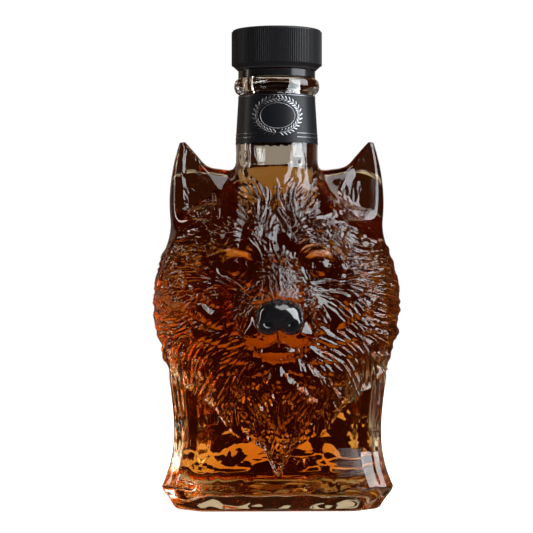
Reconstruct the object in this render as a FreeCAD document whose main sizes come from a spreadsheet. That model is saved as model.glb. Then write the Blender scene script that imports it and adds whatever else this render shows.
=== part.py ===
import FreeCAD, Part
import Sketcher
import math
import operator
import os
import types

# Wolf-head liquor decanter: a hollow glass bottle under a ribbed screw cap.
# It stands on its foot: the origin is the foot's centre, +Z is up, and the face looks along -Y.

# Driving dimensions, in millimetres apart from counts and turns: name, value, what it measures
DRIVING_SIZES = [
    ("foot_half_width", 45.5, "flat foot"),
    ("foot_half_depth", 30.5, "flat foot"),
    ("heel_height", 10.5, "bevel from the foot up to the heel"),
    ("heel_half_width", 51.5, "heel, the widest of the lower body"),
    ("heel_half_depth", 36.0, "heel"),
    ("waist_rise", 33.5, "from the heel up to the drawn-in waist"),
    ("waist_half_width", 46.8, "drawn-in waist"),
    ("waist_half_depth", 33.0, "drawn-in waist"),
    ("chest_rise", 32.0, "from the waist up to where the head begins"),
    ("chest_half_width", 49.5, "body where the head begins"),
    ("chest_half_depth", 34.5, "body where the head begins"),
    ("crown_rise", 26.0, "from there up to the body's top inside the head"),
    ("crown_half_width", 42.0, "body's top"),
    ("crown_half_depth", 28.0, "body's top"),
    ("corner_cut", 10.5, "corner facet, measured across the front"),
    ("corner_depth", 9.0, "corner facet, measured along the side"),
    ("wall", 4.0, "glass thickness"),
    ("floor_thickness", 8.6, "glass under the liquor"),
    ("skull_rise", 24.0, "skull lobe's centre above the chest"),
    ("skull_back", 2.0, "skull lobe's centre behind the neck axis"),
    ("skull_half_width", 54.0, "skull lobe"),
    ("skull_half_depth", 39.5, "skull lobe"),
    ("skull_half_height", 52.0, "skull lobe"),
    ("cheek_inset", 24.0, "cheek lobe's centre inside the skull's side"),
    ("cheek_forward", 3.0, "cheek lobe's centre before the neck axis"),
    ("cheek_drop", 14.0, "cheek lobe's centre below the skull's"),
    ("cheek_half_width", 25.3, "cheek lobe"),
    ("cheek_half_depth", 32.5, "cheek lobe"),
    ("cheek_half_height", 35.0, "cheek lobe"),
    ("ruff_forward", 15.0, "ruff lobe's centre before the neck axis"),
    ("ruff_drop", 32.0, "ruff lobe's centre below the skull's"),
    ("ruff_half_width", 38.0, "ruff lobe"),
    ("ruff_half_depth", 27.0, "ruff lobe"),
    ("ruff_half_height", 46.0, "ruff lobe"),
    ("brow_side", 16.0, "brow lobe's centre from the middle"),
    ("brow_forward", 29.0, "brow lobe's centre before the neck axis"),
    ("brow_rise", 19.0, "brow lobe's centre above the skull's"),
    ("brow_half_width", 13.0, "brow lobe"),
    ("brow_half_depth", 9.5, "brow lobe"),
    ("brow_half_height", 7.0, "brow lobe"),
    ("bridge_forward", 37.0, "bridge of the nose, its centre before the neck axis"),
    ("bridge_rise", 1.0, "bridge of the nose, its centre above the skull's"),
    ("bridge_half_width", 10.0, "bridge of the nose"),
    ("bridge_half_depth", 13.0, "bridge of the nose"),
    ("bridge_half_height", 12.0, "bridge of the nose"),
    ("muzzle_forward", 38.0, "muzzle lobe's centre before the neck axis"),
    ("muzzle_drop", 13.5, "muzzle lobe's centre below the skull's"),
    ("muzzle_half_width", 16.5, "muzzle lobe"),
    ("muzzle_half_depth", 23.0, "muzzle lobe, front to back"),
    ("muzzle_half_height", 13.5, "muzzle lobe"),
    ("pad_side", 8.2, "lip pad's centre from the middle"),
    ("pad_forward", 48.5, "lip pad's centre before the neck axis"),
    ("pad_drop", 22.5, "lip pad's centre below the skull's"),
    ("pad_half_width", 9.4, "lip pad"),
    ("pad_half_depth", 11.0, "lip pad"),
    ("pad_half_height", 7.6, "lip pad"),
    ("jaw_forward", 41.5, "lower jaw's centre before the neck axis"),
    ("jaw_drop", 31.4, "lower jaw's centre below the skull's"),
    ("jaw_half_width", 10.2, "lower jaw"),
    ("jaw_half_depth", 14.0, "lower jaw, front to back"),
    ("jaw_half_height", 5.6, "lower jaw"),
    ("nose_forward", 57.5, "nose's centre before the neck axis"),
    ("nose_drop", 13.8, "nose's centre below the skull's"),
    ("nose_half_width", 9.8, "nose"),
    ("nose_half_depth", 8.0, "nose, front to back"),
    ("nose_half_height", 6.2, "nose"),
    ("wing_side", 5.0, "nose wing's centre from the middle"),
    ("wing_forward", 59.5, "nose wing's centre before the neck axis"),
    ("wing_drop", 17.6, "nose wing's centre below the skull's"),
    ("wing_half_width", 4.9, "nose wing"),
    ("wing_half_depth", 5.8, "nose wing"),
    ("wing_half_height", 4.6, "nose wing"),
    ("lobe_blend", 8.0, "how softly the lobes of the head run into each other"),
    ("lip_blend", 4.0, "how softly lips, jaw and eye sockets run into the face"),
    ("nose_blend", 2.0, "how softly the nose runs into the muzzle"),
    ("eye_side", 18.3, "eye's centre from the middle"),
    ("eye_forward", 29.7, "eyeball's centre before the neck axis"),
    ("eye_rise", 8.2, "eye's centre above the skull's"),
    ("eye_radius", 6.2, "eyeball"),
    ("socket_forward", 38.5, "eye socket's centre before the neck axis"),
    ("socket_half_width", 9.0, "eye socket"),
    ("socket_half_depth", 6.0, "eye socket"),
    ("socket_half_height", 6.2, "eye socket"),
    ("mane_rise", 7.0, "middle of the mane's rings below the skull's centre"),
    ("mane_start", 21.0, "from there to the first ring of tufts"),
    ("mane_step", 9.0, "from one ring of tufts to the next"),
    ("mane_length", 23.0, "tuft"),
    ("mane_height", 2.0, "tuft over the skin beside it"),
    ("mane_sink", 1.4, "skin between the tufts, below the lobes"),
    ("ear_inset", 24.5, "ear root's centre inside the skull's side"),
    ("ear_rise", 19.0, "ear root above the skull's centre"),
    ("ear_back", 3.0, "ear's middle behind the neck axis"),
    ("ear_half_width", 16.0, "ear root, across the front"),
    ("ear_half_depth", 11.5, "ear root, front to back"),
    ("ear_length", 45.5, "ear from root to tip"),
    ("ear_lean", 13.7, "ear tip further out than its root"),
    ("ear_tip_radius", 1.2, "blunt end of the ear"),
    ("web_inset", 27.0, "web between ear and neck, its centre inside the skull's side"),
    ("web_rise", 41.0, "web between ear and neck, its centre above the skull's"),
    ("web_half_width", 15.0, "web between ear and neck"),
    ("web_half_depth", 9.0, "web between ear and neck"),
    ("web_half_height", 10.0, "web between ear and neck"),
    ("conch_half_width", 7.0, "hollow in the ear's front"),
    ("conch_half_depth", 3.5, "hollow in the ear's front"),
    ("flare_sink", 14.0, "neck's spread begins this far below the skull's top"),
    ("flare_height", 20.0, "neck's spread"),
    ("flare_spread", 5.8, "neck's spread, over the neck's own radius"),
    ("flare_round", 40.0, "hollow curve of the neck's spread"),
    ("neck_radius", 18.7, "neck below the label"),
    ("neck_narrowing", 1.4, "how much thinner the neck is above the label"),
    ("neck_wall", 4.5, "glass behind the label"),
    ("bare_neck", 6.0, "neck between its spread and the label"),
    ("label_height", 22.2, "paper label"),
    ("label_thickness", 0.15, "paper label"),
    ("glue_line", 0.05, "room between the label and the glass"),
    ("label_edge", 0.8, "bare glass between the label and the bead"),
    ("bead_height", 7.0, "glass bead under the cap"),
    ("bead_stand", 2.2, "how far the bead stands out"),
    ("finish_radius", 15.0, "glass under the thread"),
    ("finish_wall", 2.8, "glass at the mouth"),
    ("lip_round", 0.8, "round of the lip's outer edge"),
    ("lip_land", 3.75, "plain glass between the thread and the lip's top"),
    ("lock_stand", 0.75, "ring that keeps the tamper band down"),
    ("lock_half_height", 0.8, "ring that keeps the tamper band down"),
    ("thread_rise", 3.75, "thread's lower end above the locking ring"),
    ("thread_pitch", 4.233, "rise in one turn, six threads to the inch"),
    ("thread_turns", 1.25, "length of each thread"),
    ("thread_depth", 1.2, "how far the glass thread stands out"),
    ("cap_thread_depth", 1.1, "how far the sleeve's thread stands in"),
    ("thread_gap", 0.4, "room between a thread and the wall or thread beside it"),
    ("sleeve_wall", 2.0, "threaded sleeve"),
    ("sleeve_foot", 1.3, "threaded sleeve's flat lower edge"),
    ("sleeve_top", 1.35, "threaded sleeve's top"),
    ("shell_wall", 2.05, "ribbed shell, over its ribs"),
    ("shell_top", 1.75, "ribbed shell's top"),
    ("shell_bevel", 2.6, "bevel under the cap"),
    ("shell_edge", 1.0, "round of the cap's top edge"),
    ("rib_count", 144, "ribs round the cap"),
    ("rib_depth", 0.32, "grooves between the ribs"),
    ("press_gap", 0.05, "room between pieces pushed together"),
    ("liner_thickness", 1.2, "sealing wad"),
    ("liner_gap", 0.3, "room round the sealing wad"),
    ("band_wall", 2.35, "tamper band"),
    ("band_height", 3.0, "tamper band"),
    ("band_gap", 0.3, "room round the tamper band"),
    ("stub_count", 12, "broken bridges on the band"),
    ("stub_height", 0.25, "broken bridges on the band"),
    ("stub_width", 0.9, "broken bridges on the band"),
    ("fill_drop", 4.0, "liquor's level below the top of the neck's spread"),
    ("liquor_gap", 0.15, "room between the liquor and the glass"),
]

doc = FreeCAD.newDocument("wolf_decanter")
sheet = doc.addObject("Spreadsheet::Sheet", "sizes")
for row, (alias, number, note) in enumerate(DRIVING_SIZES, 1):
    sheet.set(f"A{row}", alias)
    sheet.set(f"B{row}", str(number))
    sheet.set(f"C{row}", note)
    sheet.setAlias(f"B{row}", alias)
doc.recompute()

OPERATIONS = {"+": operator.add, "-": operator.sub, "*": operator.mul, "/": operator.truediv}


class Size:
    # a number, together with the sheet expression that gives it
    def __init__(self, text, number):
        self.text = text
        self.number = number

    def __add__(self, other):
        return combined(self, "+", other)

    def __sub__(self, other):
        return combined(self, "-", other)

    def __mul__(self, other):
        return combined(self, "*", other)

    def __truediv__(self, other):
        return combined(self, "/", other)


def as_size(item):
    return item if isinstance(item, Size) else Size(f"{item:.6g}", float(item))


def combined(first, sign, second):
    left, right = as_size(first), as_size(second)
    return Size(f"({left.text} {sign} {right.text})", OPERATIONS[sign](left.number, right.number))


def from_sheet(alias):
    return Size(f"sizes.{alias}", float(getattr(sheet, alias)))


s = types.SimpleNamespace(**{alias: from_sheet(alias) for alias, _, _ in DRIVING_SIZES})
ZERO = Size("0", 0.0)

# Heights that follow from the driving sizes, from the foot up
waist = s.heel_height + s.waist_rise
chest = waist + s.chest_rise
crown = chest + s.crown_rise
skull = chest + s.skull_rise
skull_top = skull + s.skull_half_height
flare_bottom = skull_top - s.flare_sink
flare_top = flare_bottom + s.flare_height
fill_level = flare_top - s.fill_drop
label_bottom = flare_top + s.bare_neck
label_top = label_bottom + s.label_height
bead_bottom = label_top + s.label_edge
bead_top = bead_bottom + s.bead_height
band_bottom = bead_top + s.band_gap
band_top = band_bottom + s.band_height
cap_bottom = band_top + s.stub_height + s.band_gap
lock_bottom = band_top + s.press_gap
lock_top = lock_bottom + s.lock_half_height * 2
thread_start = lock_top + s.thread_rise
cap_thread_start = thread_start - s.thread_pitch / 2
thread_length = s.thread_pitch * s.thread_turns
thread_half_width = (s.thread_pitch / 2 - s.thread_gap) / 2
lip = thread_start + thread_length + s.lip_land
liner_bottom = lip + s.press_gap
liner_top = liner_bottom + s.liner_thickness
sleeve_ceiling = liner_top + s.press_gap
sleeve_top = sleeve_ceiling + s.sleeve_top
shell_ceiling = sleeve_top + s.press_gap
cap_top = shell_ceiling + s.shell_top

# Radii and distances from the middle that follow
cheek_side = s.skull_half_width - s.cheek_inset
ear_side = s.skull_half_width - s.ear_inset
web_side = s.skull_half_width - s.web_inset
flare_radius = s.neck_radius + s.flare_spread
neck_top_radius = s.neck_radius - s.neck_narrowing
neck_bore = s.neck_radius - s.neck_wall
mouth_radius = s.finish_radius - s.finish_wall
sleeve_bore = s.finish_radius + s.thread_depth + s.thread_gap
sleeve_radius = sleeve_bore + s.sleeve_wall
sleeve_foot = sleeve_bore + s.sleeve_foot
shell_bore = sleeve_radius + s.press_gap
cap_radius = shell_bore + s.shell_wall
rib_root = cap_radius - s.rib_depth
band_bore = s.finish_radius + s.band_gap
band_radius = band_bore + s.band_wall

SKIN_TRIM = 2.5  # how far below the skull's top its skin ends, inside the neck
RUFF_SHARE = 0.8  # how far down the ruff its skin ends, inside the body
CORE_SHARE = 0.9  # hidden core that keeps the skin closed round the neck axis
FACE_POINTS = (84, 66)  # points round and up the outside of the head
HOLLOW_POINTS = (44, 27)  # the same inside, where the skin is plain
FRONT_CROWDING = 0.7  # how much closer these points lie on the face
WALK_SHARE = 0.8  # how much of the way to the skin each step inwards goes
WALK_END = 0.01  # step at which the skin is reached
HOLLOW_LOBES = ["skull", "ruff", "cheek"]
MANE_RINGS = 5
MANE_TUFTS = (18, 5)  # tufts in the first ring, and how many more in each next one
MANE_CURL = 0.35  # how far a tuft swings sideways, as a share of its width
MANE_BARE = (0.0, 10.0)  # the mane fades out over this stretch behind the neck axis
EAR_STATIONS = [0.0, 0.3, 0.6, 0.84, 1.0]  # sections of an ear, from root to tip
EAR_TAPER = 1.8  # how late the ear narrows
CONCH_REACH = (0.45, 0.95)  # hollow in the ear's front, as shares of its length
POCKET_REACH = (0.0, 0.6)  # liquor's space inside the ear
RIB_OUTLINE = [(-0.22, 1.0), (0.22, 1.0), (0.5, 0.1)]  # share of a rib's step, share of its depth

HORIZONTAL, VERTICAL, ORIGIN = -1, -2, (-1, 1)  # a sketch's own axes and origin


def bind(item, sizes):
    for name, amount in sizes.items():
        item.setExpression(name, amount.text)
    return item


# Sketches

def new_sketch(body, name, role, height=ZERO):
    sketch = body.newObject("Sketcher::SketchObject", name)
    plane = next(f for f in body.Origin.OriginFeatures if f.Role == role)
    sketch.AttachmentSupport = [(plane, "")]
    sketch.MapMode = "FlatFace"
    return bind(sketch, {"AttachmentOffset.Base.z": height})


def dimension(sketch, name, amount, *constraint):
    index = sketch.addConstraint(Sketcher.Constraint(*constraint, amount.number))
    sketch.renameConstraint(index, name)
    bind(sketch, {f"Constraints.{name}": amount})


def closed_loop(sketch, points):
    count = len(points)
    for i in range(count):
        sketch.addGeometry(Part.LineSegment(points[i], points[(i + 1) % count]))
    for i in range(count):
        sketch.addConstraint(Sketcher.Constraint("Coincident", i, 2, (i + 1) % count, 1))


def facet_section(body, name, height, half_width, half_depth):
    # a rectangle with cut corners, centred on the neck axis
    sketch = new_sketch(body, name, "XY_Plane", height)
    x, y = half_width.number, half_depth.number
    front = [(x - s.corner_cut.number, -y), (x, s.corner_depth.number - y)]
    right = front + [(a, -b) for a, b in reversed(front)]
    closed_loop(sketch, [FreeCAD.Vector(a, b) for a, b in right + [(-a, b) for a, b in reversed(right)]])
    for first, second, mirror in [(1, 2, HORIZONTAL), (1, 6, VERTICAL), (2, 5, VERTICAL),
                                  (0, 7, VERTICAL), (0, 3, HORIZONTAL), (7, 4, HORIZONTAL)]:
        sketch.addConstraint(Sketcher.Constraint("Symmetric", first, 1, second, 1, mirror))
    dimension(sketch, "half_width", half_width, "DistanceX", *ORIGIN, 1, 1)
    dimension(sketch, "half_depth", half_depth, "DistanceY", 0, 1, *ORIGIN)
    dimension(sketch, "corner_across", s.corner_cut, "DistanceX", 0, 1, 1, 1)
    dimension(sketch, "corner_along", s.corner_depth, "DistanceY", 0, 1, 1, 1)
    return sketch


def turned_profile(sketch, corners):
    # A corner is (radius, height), or (radius, height, round, side): then an arc of that round runs to
    # the next corner, full with side 1 and hollow with side -1. The corners go anticlockwise.
    places = [FreeCAD.Vector(corner[0].number, corner[1].number) for corner in corners]
    count = len(corners)
    ends = []
    for i, corner in enumerate(corners):
        start, stop = places[i], places[(i + 1) % count]
        if len(corner) == 2:
            sketch.addGeometry(Part.LineSegment(start, stop))
            ends.append((1, 2))
            continue
        rounding, side = corner[2].number, corner[3]
        half = (stop - start) / 2
        inward = FreeCAD.Vector(-half.y, half.x).normalize() * side
        centre = start + half + inward * math.sqrt(max(rounding ** 2 - half.Length ** 2, 0.0))
        angles = [math.atan2(p.y - centre.y, p.x - centre.x) for p in (start, stop)][::side]
        circle = Part.Circle(centre, FreeCAD.Vector(0, 0, 1), rounding)
        sketch.addGeometry(Part.ArcOfCircle(circle, *angles))
        ends.append((1, 2)[::side])
    for i in range(count):
        j = (i + 1) % count
        sketch.addConstraint(Sketcher.Constraint("Coincident", i, ends[i][1], j, ends[j][0]))
    for i, corner in enumerate(corners):
        if corner[0] is ZERO:
            sketch.addConstraint(Sketcher.Constraint("PointOnObject", i, ends[i][0], VERTICAL))
        else:
            dimension(sketch, f"radius_{i}", corner[0], "DistanceX", *ORIGIN, i, ends[i][0])
        dimension(sketch, f"height_{i}", corner[1], "DistanceY", *ORIGIN, i, ends[i][0])
        if len(corner) > 2:
            dimension(sketch, f"round_{i}", corner[2], "Radius", i)


def turned_body(name, corners):
    body = doc.addObject("PartDesign::Body", name)
    sketch = new_sketch(body, f"{name}_profile", "XZ_Plane")
    turned_profile(sketch, corners)
    doc.recompute()
    turn = body.newObject("PartDesign::Revolution", f"{name}_turn")
    turn.Profile = sketch
    turn.ReferenceAxis = (sketch, ["V_Axis"])
    turn.Angle = 360
    return body


def faceted_body(name, sections):
    # straight from the first section to the second, then smoothly through the rest
    body = doc.addObject("PartDesign::Body", name)
    sketches = [facet_section(body, f"{name}_section_{i}", *section) for i, section in enumerate(sections)]
    joint = facet_section(body, f"{name}_joint", *sections[1])
    doc.recompute()
    for label, ruled, profile, others in [("bevel", True, sketches[0], sketches[1:2]),
                                          ("rise", False, joint, sketches[2:])]:
        loft = body.newObject("PartDesign::AdditiveLoft", f"{name}_{label}")
        loft.Profile = profile
        loft.Sections = others
        loft.Ruled = ruled
        doc.recompute()
    return body


def joined(name, pieces):
    fuse = doc.addObject("Part::MultiFuse", name)
    fuse.Shapes = pieces
    fuse.Refine = False
    return fuse


def combine(kind, name, base, tool):
    result = doc.addObject(f"Part::{kind}", name)
    result.Base = base
    result.Tool = tool
    result.Refine = False
    return result


# Lower body: eight-sided sections from the foot through the waist into the head

def lower_body(name, inset, floor):
    def section(height, part):
        half_width, half_depth = getattr(s, f"{part}_half_width"), getattr(s, f"{part}_half_depth")
        return (height, half_width - inset, half_depth - inset)

    return faceted_body(name, [section(floor, "foot"), section(s.heel_height + floor, "heel"),
                               section(waist, "waist"), section(chest, "chest"), section(crown, "crown")])


# Head: egg-shaped lobes that run softly into each other, read off round the neck axis
# Each lobe has its height, how far it lies before the neck axis and from the middle, and its softness
LOBE_PLACES = {
    "skull": (skull, ZERO - s.skull_back, ZERO, s.lobe_blend),
    "ruff": (skull - s.ruff_drop, s.ruff_forward, ZERO, s.lobe_blend),
    "cheek": (skull - s.cheek_drop, s.cheek_forward, cheek_side, s.lobe_blend),
    "brow": (skull + s.brow_rise, s.brow_forward, s.brow_side, s.lobe_blend),
    "bridge": (skull + s.bridge_rise, s.bridge_forward, ZERO, s.lobe_blend),
    "muzzle": (skull - s.muzzle_drop, s.muzzle_forward, ZERO, s.lobe_blend),
    "pad": (skull - s.pad_drop, s.pad_forward, s.pad_side, s.lip_blend),
    "jaw": (skull - s.jaw_drop, s.jaw_forward, ZERO, s.nose_blend),
    "nose": (skull - s.nose_drop, s.nose_forward, ZERO, s.nose_blend),
    "wing": (skull - s.wing_drop, s.wing_forward, s.wing_side, s.nose_blend),
}


def half_sizes(part):
    return [getattr(s, f"{part}_half_{way}").number for way in ("width", "depth", "height")]


def head_lobes(parts):
    core = [CORE_SHARE * amount.number for amount in (s.crown_half_width, s.crown_half_depth)]
    lobes = [(0.0, 0.0, (skull - s.ruff_drop).number, *core, s.skull_half_height.number, s.lobe_blend.number)]
    for part in parts:
        height, forward, side, softness = (amount.number for amount in LOBE_PLACES[part])
        for hand in (-1, 1) if side else (1,):
            lobes.append((hand * side, -forward, height, *half_sizes(part), softness))
    return lobes


def egg_distance(x, y, z, cx, cy, cz, rx, ry, rz):
    # about how far a point lies outside an egg, or inside it with a minus
    u, v, w = (x - cx) / rx, (y - cy) / ry, (z - cz) / rz
    reach = math.sqrt(u * u + v * v + w * w)
    slope = math.sqrt((u / rx) ** 2 + (v / ry) ** 2 + (w / rz) ** 2)
    return reach * (reach - 1) / slope if slope else -min(rx, ry, rz)


def soft_least(first, second, softness):
    share = max(softness - abs(first - second), 0.0) / softness
    return min(first, second) - share * share * softness / 4


def depth_outside(lobes, x, y, z):
    nearest = math.inf
    for *egg, softness in lobes:
        nearest = soft_least(nearest, egg_distance(x, y, z, *egg), softness)
    return nearest


def with_eyes(away, x, y, z):
    # a socket cut into the face on each side, and the eyeball in it
    side, height = abs(x) - s.eye_side.number, z - (skull + s.eye_rise).number
    socket = egg_distance(side, y, height, 0.0, -s.socket_forward.number, 0.0, *half_sizes("socket"))
    ball = math.sqrt(side ** 2 + (y + s.eye_forward.number) ** 2 + height ** 2) - s.eye_radius.number
    return min(-soft_least(-away, socket, s.lip_blend.number), ball)


def smooth_share(amount, start, stop):
    share = min(max((amount - start) / (stop - start), 0.0), 1.0)
    return share * share * (3 - 2 * share)


def mane_relief(x, y, z):
    # rings of pointed tufts round the face, each ring over the roots of the next
    rise = z - (skull - s.mane_rise).number
    reach, turn = math.hypot(x, rise), math.atan2(abs(x), -rise) / (2 * math.pi)
    relief = 0.0
    for ring in range(MANE_RINGS):
        along = (reach - s.mane_start.number - ring * s.mane_step.number) / s.mane_length.number
        if not 0 < along < 1:
            continue
        tufts = MANE_TUFTS[0] + ring * MANE_TUFTS[1]
        place = turn * tufts + ring / 2 + MANE_CURL * math.sin(2 * math.pi * along + ring)
        off = 2 * abs(place - round(place))
        width = 1 - smooth_share(along, 0.4, 1.05)
        height = smooth_share(along, -0.1, 0.45) * max(1 - (off / width) ** 2, 0.0)
        relief = max(relief, height)
    eye = math.hypot(abs(x) - s.eye_side.number, z - (skull + s.eye_rise).number)
    coat = smooth_share(eye, s.eye_radius.number, 2 * s.eye_radius.number) * (1 - smooth_share(y, *MANE_BARE))
    coat *= smooth_share(reach, s.mane_start.number, s.mane_start.number + s.mane_step.number)
    return coat * (s.mane_height.number * relief - s.mane_sink.number)


def face_depth(lobes, x, y, z):
    return with_eyes(depth_outside(lobes, x, y, z), x, y, z) - mane_relief(x, y, z)


def skin_point(lobes, depth, angle, z, inset):
    # walks in from outside the head until it is as deep as the inset
    reach = 2 * s.skull_half_width.number
    step = reach
    while step > WALK_END and reach > 0:
        step = depth(lobes, reach * math.cos(angle), reach * math.sin(angle), z) + inset
        reach -= WALK_SHARE * step
    return FreeCAD.Vector(reach * math.cos(angle), reach * math.sin(angle), z)


def head_skin(name, parts, depth, counts, inset):
    lobes = head_lobes(parts)
    round_count, up_count = counts
    bottom = (skull - s.ruff_drop - s.ruff_half_height * RUFF_SHARE).number
    top = (skull_top - inset - SKIN_TRIM).number
    heights = [bottom + (top - bottom) * i / (up_count - 1) for i in range(up_count)]
    poles = []
    for i in range(round_count):
        turn = 2 * math.pi * i / round_count
        angle = turn - FRONT_CROWDING * math.sin(turn) - math.pi / 2
        poles.append([skin_point(lobes, depth, angle, z, inset.number) for z in heights])
    round_knots = list(range(round_count + 1))
    up_knots = list(range(up_count - 2))
    round_counts = [1] * len(round_knots)
    up_counts = [4] + [1] * (len(up_knots) - 2) + [4]
    surface = Part.BSplineSurface()
    surface.buildFromPolesMultsKnots(poles, round_counts, up_counts, round_knots, up_knots, True, False, 3, 3)
    side = surface.toShape()
    rims = [edge for edge in side.Edges if edge.BoundBox.ZLength < WALK_END]
    shell = Part.makeShell([side] + [Part.Face(Part.Wire([edge])) for edge in rims])
    shell.sewShape()
    solid = Part.makeSolid(shell)
    if solid.Volume < 0:
        solid.reverse()
    skin = doc.addObject("Part::Feature", name)
    skin.Shape = solid
    return skin


# Ears: oval sections from the root inside the skull to the tip

def ear_loft(name, hand, half_width, half_depth, reach, to_front=False, back=ZERO):
    # an ear or its pocket narrows from root to tip, and the hollow in its front at both ends
    ovals = []
    for i, station in enumerate(EAR_STATIONS):
        share = reach[0] + (reach[1] - reach[0]) * station
        fullness = math.sin(math.pi * station) if to_front else 1 - station ** EAR_TAPER
        middle = s.ear_back * (1 - share / 2) + back
        if to_front:
            middle = middle - s.ear_half_depth * (1 - share ** EAR_TAPER) - s.ear_tip_radius * share
        oval = doc.addObject("Part::Ellipse", f"{name}_oval_{i}")
        bind(oval, {
            "MajorRadius": half_width * fullness + s.ear_tip_radius,
            "MinorRadius": half_depth * fullness + s.ear_tip_radius,
            "Placement.Base.x": (ear_side + s.ear_lean * share) * hand,
            "Placement.Base.y": middle,
            "Placement.Base.z": skull + s.ear_rise + s.ear_length * share,
        })
        ovals.append(oval)
    loft = doc.addObject("Part::Loft", name)
    loft.Sections = ovals
    loft.Solid = True
    return loft


HANDS = [("left", -1), ("right", 1)]


def ears():
    width, depth = s.ear_half_width, s.ear_half_depth
    return [ear_loft(f"ear_{word}", hand, width, depth, (0.0, 1.0)) for word, hand in HANDS]


def ear_webs():
    # from each ear's foot towards the neck
    return [bind(doc.addObject("Part::Ellipsoid", f"ear_web_{word}"), {
        "Radius1": s.web_half_height,
        "Radius2": s.web_half_width,
        "Radius3": s.web_half_depth,
        "Placement.Base.x": web_side * hand,
        "Placement.Base.y": s.ear_back,
        "Placement.Base.z": skull + s.web_rise,
    }) for word, hand in HANDS]


def conches():
    width, depth = s.conch_half_width, s.conch_half_depth
    return [ear_loft(f"conch_{word}", hand, width, depth, CONCH_REACH, to_front=True) for word, hand in HANDS]


def ear_pockets(name, inset):
    width, depth, back = s.ear_half_width - inset, s.ear_half_depth - inset, s.conch_half_depth / 2
    return [ear_loft(f"{name}_ear_{word}", hand, width, depth, POCKET_REACH, back=back)
            for word, hand in HANDS]


# Neck and finish: the bottle's spread, label seat, bead, locking ring and lip

def arc_round(half_chord, rise):
    # radius of an arc that stands out by rise over a chord
    return (half_chord * half_chord + rise * rise) / (rise * 2)


def neck_outside():
    bead_round = arc_round(s.bead_height / 2, s.bead_stand)
    lock_round = arc_round(s.lock_half_height, s.lock_stand)
    return turned_body("neck_outside", [
        (ZERO, flare_bottom),
        (flare_radius, flare_bottom, s.flare_round, -1),
        (s.neck_radius, flare_top),
        (s.neck_radius, label_bottom),
        (neck_top_radius, bead_bottom, bead_round, 1),
        (neck_top_radius, bead_top),
        (s.finish_radius, bead_top),
        (s.finish_radius, lock_bottom, lock_round, 1),
        (s.finish_radius, lock_top),
        (s.finish_radius, lip - s.lip_round, s.lip_round, 1),
        (s.finish_radius - s.lip_round, lip),
        (ZERO, lip),
    ])


def neck_hollow(name, gap):
    bottom = flare_bottom - s.wall - s.wall
    top = lip + s.lip_round
    return turned_body(name, [
        (ZERO, bottom),
        (flare_radius - s.neck_wall - gap, bottom),
        (neck_bore - gap, flare_top),
        (neck_bore - gap, label_top - s.wall),
        (mouth_radius - gap, bead_top),
        (mouth_radius - gap, top),
        (ZERO, top),
    ])


def thread(name, radius, start):
    helix = bind(doc.addObject("Part::Helix", f"{name}_path"), {
        "Pitch": s.thread_pitch,
        "Height": thread_length,
        "Radius": radius,
        "Placement.Base.z": start,
    })
    ring = bind(doc.addObject("Part::Circle", f"{name}_section"), {
        "Radius": thread_half_width,
        "Placement.Base.x": radius,
        "Placement.Base.z": start,
    })
    ring.Placement.Rotation = FreeCAD.Rotation(FreeCAD.Vector(1, 0, 0), 90)
    sweep = doc.addObject("Part::Sweep", name)
    sweep.Sections = [ring]
    sweep.Spine = (helix, ["Edge1"])
    sweep.Solid = True
    sweep.Frenet = True
    return sweep


# Glass and liquor share one hollow, the liquor's a little smaller and only up to its level

def hollow(name, gap):
    inset = s.wall + gap
    body = lower_body(f"{name}_body", inset, s.floor_thickness + gap)
    head = head_skin(f"{name}_head", HOLLOW_LOBES, depth_outside, HOLLOW_POINTS, inset)
    return joined(name, [body, head, neck_hollow(f"{name}_neck", gap), *ear_pockets(name, inset)])


def glass_body():
    head = head_skin("glass_head", LOBE_PLACES, face_depth, FACE_POINTS, ZERO)
    trunk = joined("glass_trunk", [lower_body("glass_lower", ZERO, ZERO), head])
    stem = joined("glass_stem", [trunk, neck_outside(), *ear_webs()])
    outside = joined("glass_outside", [stem, *ears()])
    carved = combine("Cut", "glass_carved", outside, joined("conches", conches()))
    emptied = combine("Cut", "glass_emptied", carved, hollow("cavity", ZERO))
    ridge = thread("glass_thread", s.finish_radius + s.thread_depth - thread_half_width, thread_start)
    return joined("glass_body", [emptied, ridge])


def liquor():
    block = bind(doc.addObject("Part::Cylinder", "liquor_limit"), {
        "Radius": s.heel_half_width + s.heel_half_depth,
        "Height": fill_level,
    })
    return combine("Common", "liquor", hollow("liquor_space", s.liquor_gap), block)


# Cap: a ribbed shell pushed over a threaded sleeve that holds the sealing wad

def bevel_height(radius):
    slope = s.shell_bevel / (cap_radius - sleeve_foot)
    return cap_bottom + (radius - sleeve_foot) * slope


def rib_ring():
    # the ribbed outline, from the bevel up to the round of the top edge, with its hole inside the wall
    count, crest, root = int(s.rib_count.number), cap_radius.number, rib_root.number
    bottom, top = bevel_height(rib_root), cap_top - s.shell_edge
    points = []
    for i in range(count):
        for share, radius in RIB_OUTLINE:
            angle = 2 * math.pi * (i + share) / count
            reach = root + (crest - root) * radius
            points.append(FreeCAD.Vector(reach * math.cos(angle), reach * math.sin(angle), bottom.number))
    outline = Part.makePolygon(points + points[:1])
    hole = Part.makeCircle((rib_root + shell_bore).number / 2, FreeCAD.Vector(0, 0, bottom.number))
    ring = doc.addObject("Part::Feature", "rib_ring")
    face = Part.makeFace([outline, Part.Wire([hole])], "Part::FaceMakerBullseye")
    ring.Shape = face.extrude(FreeCAD.Vector(0, 0, (top - bottom).number))
    return ring


def cap_shell():
    blank = turned_body("cap_blank", [
        (shell_bore, bevel_height(shell_bore)),
        (rib_root, bevel_height(rib_root)),
        (rib_root, cap_top - s.shell_edge, s.shell_edge, 1),
        (rib_root - s.shell_edge, cap_top),
        (ZERO, cap_top),
        (ZERO, shell_ceiling),
        (shell_bore, shell_ceiling),
    ])
    return joined("cap_shell", [blank, rib_ring()])


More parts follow.
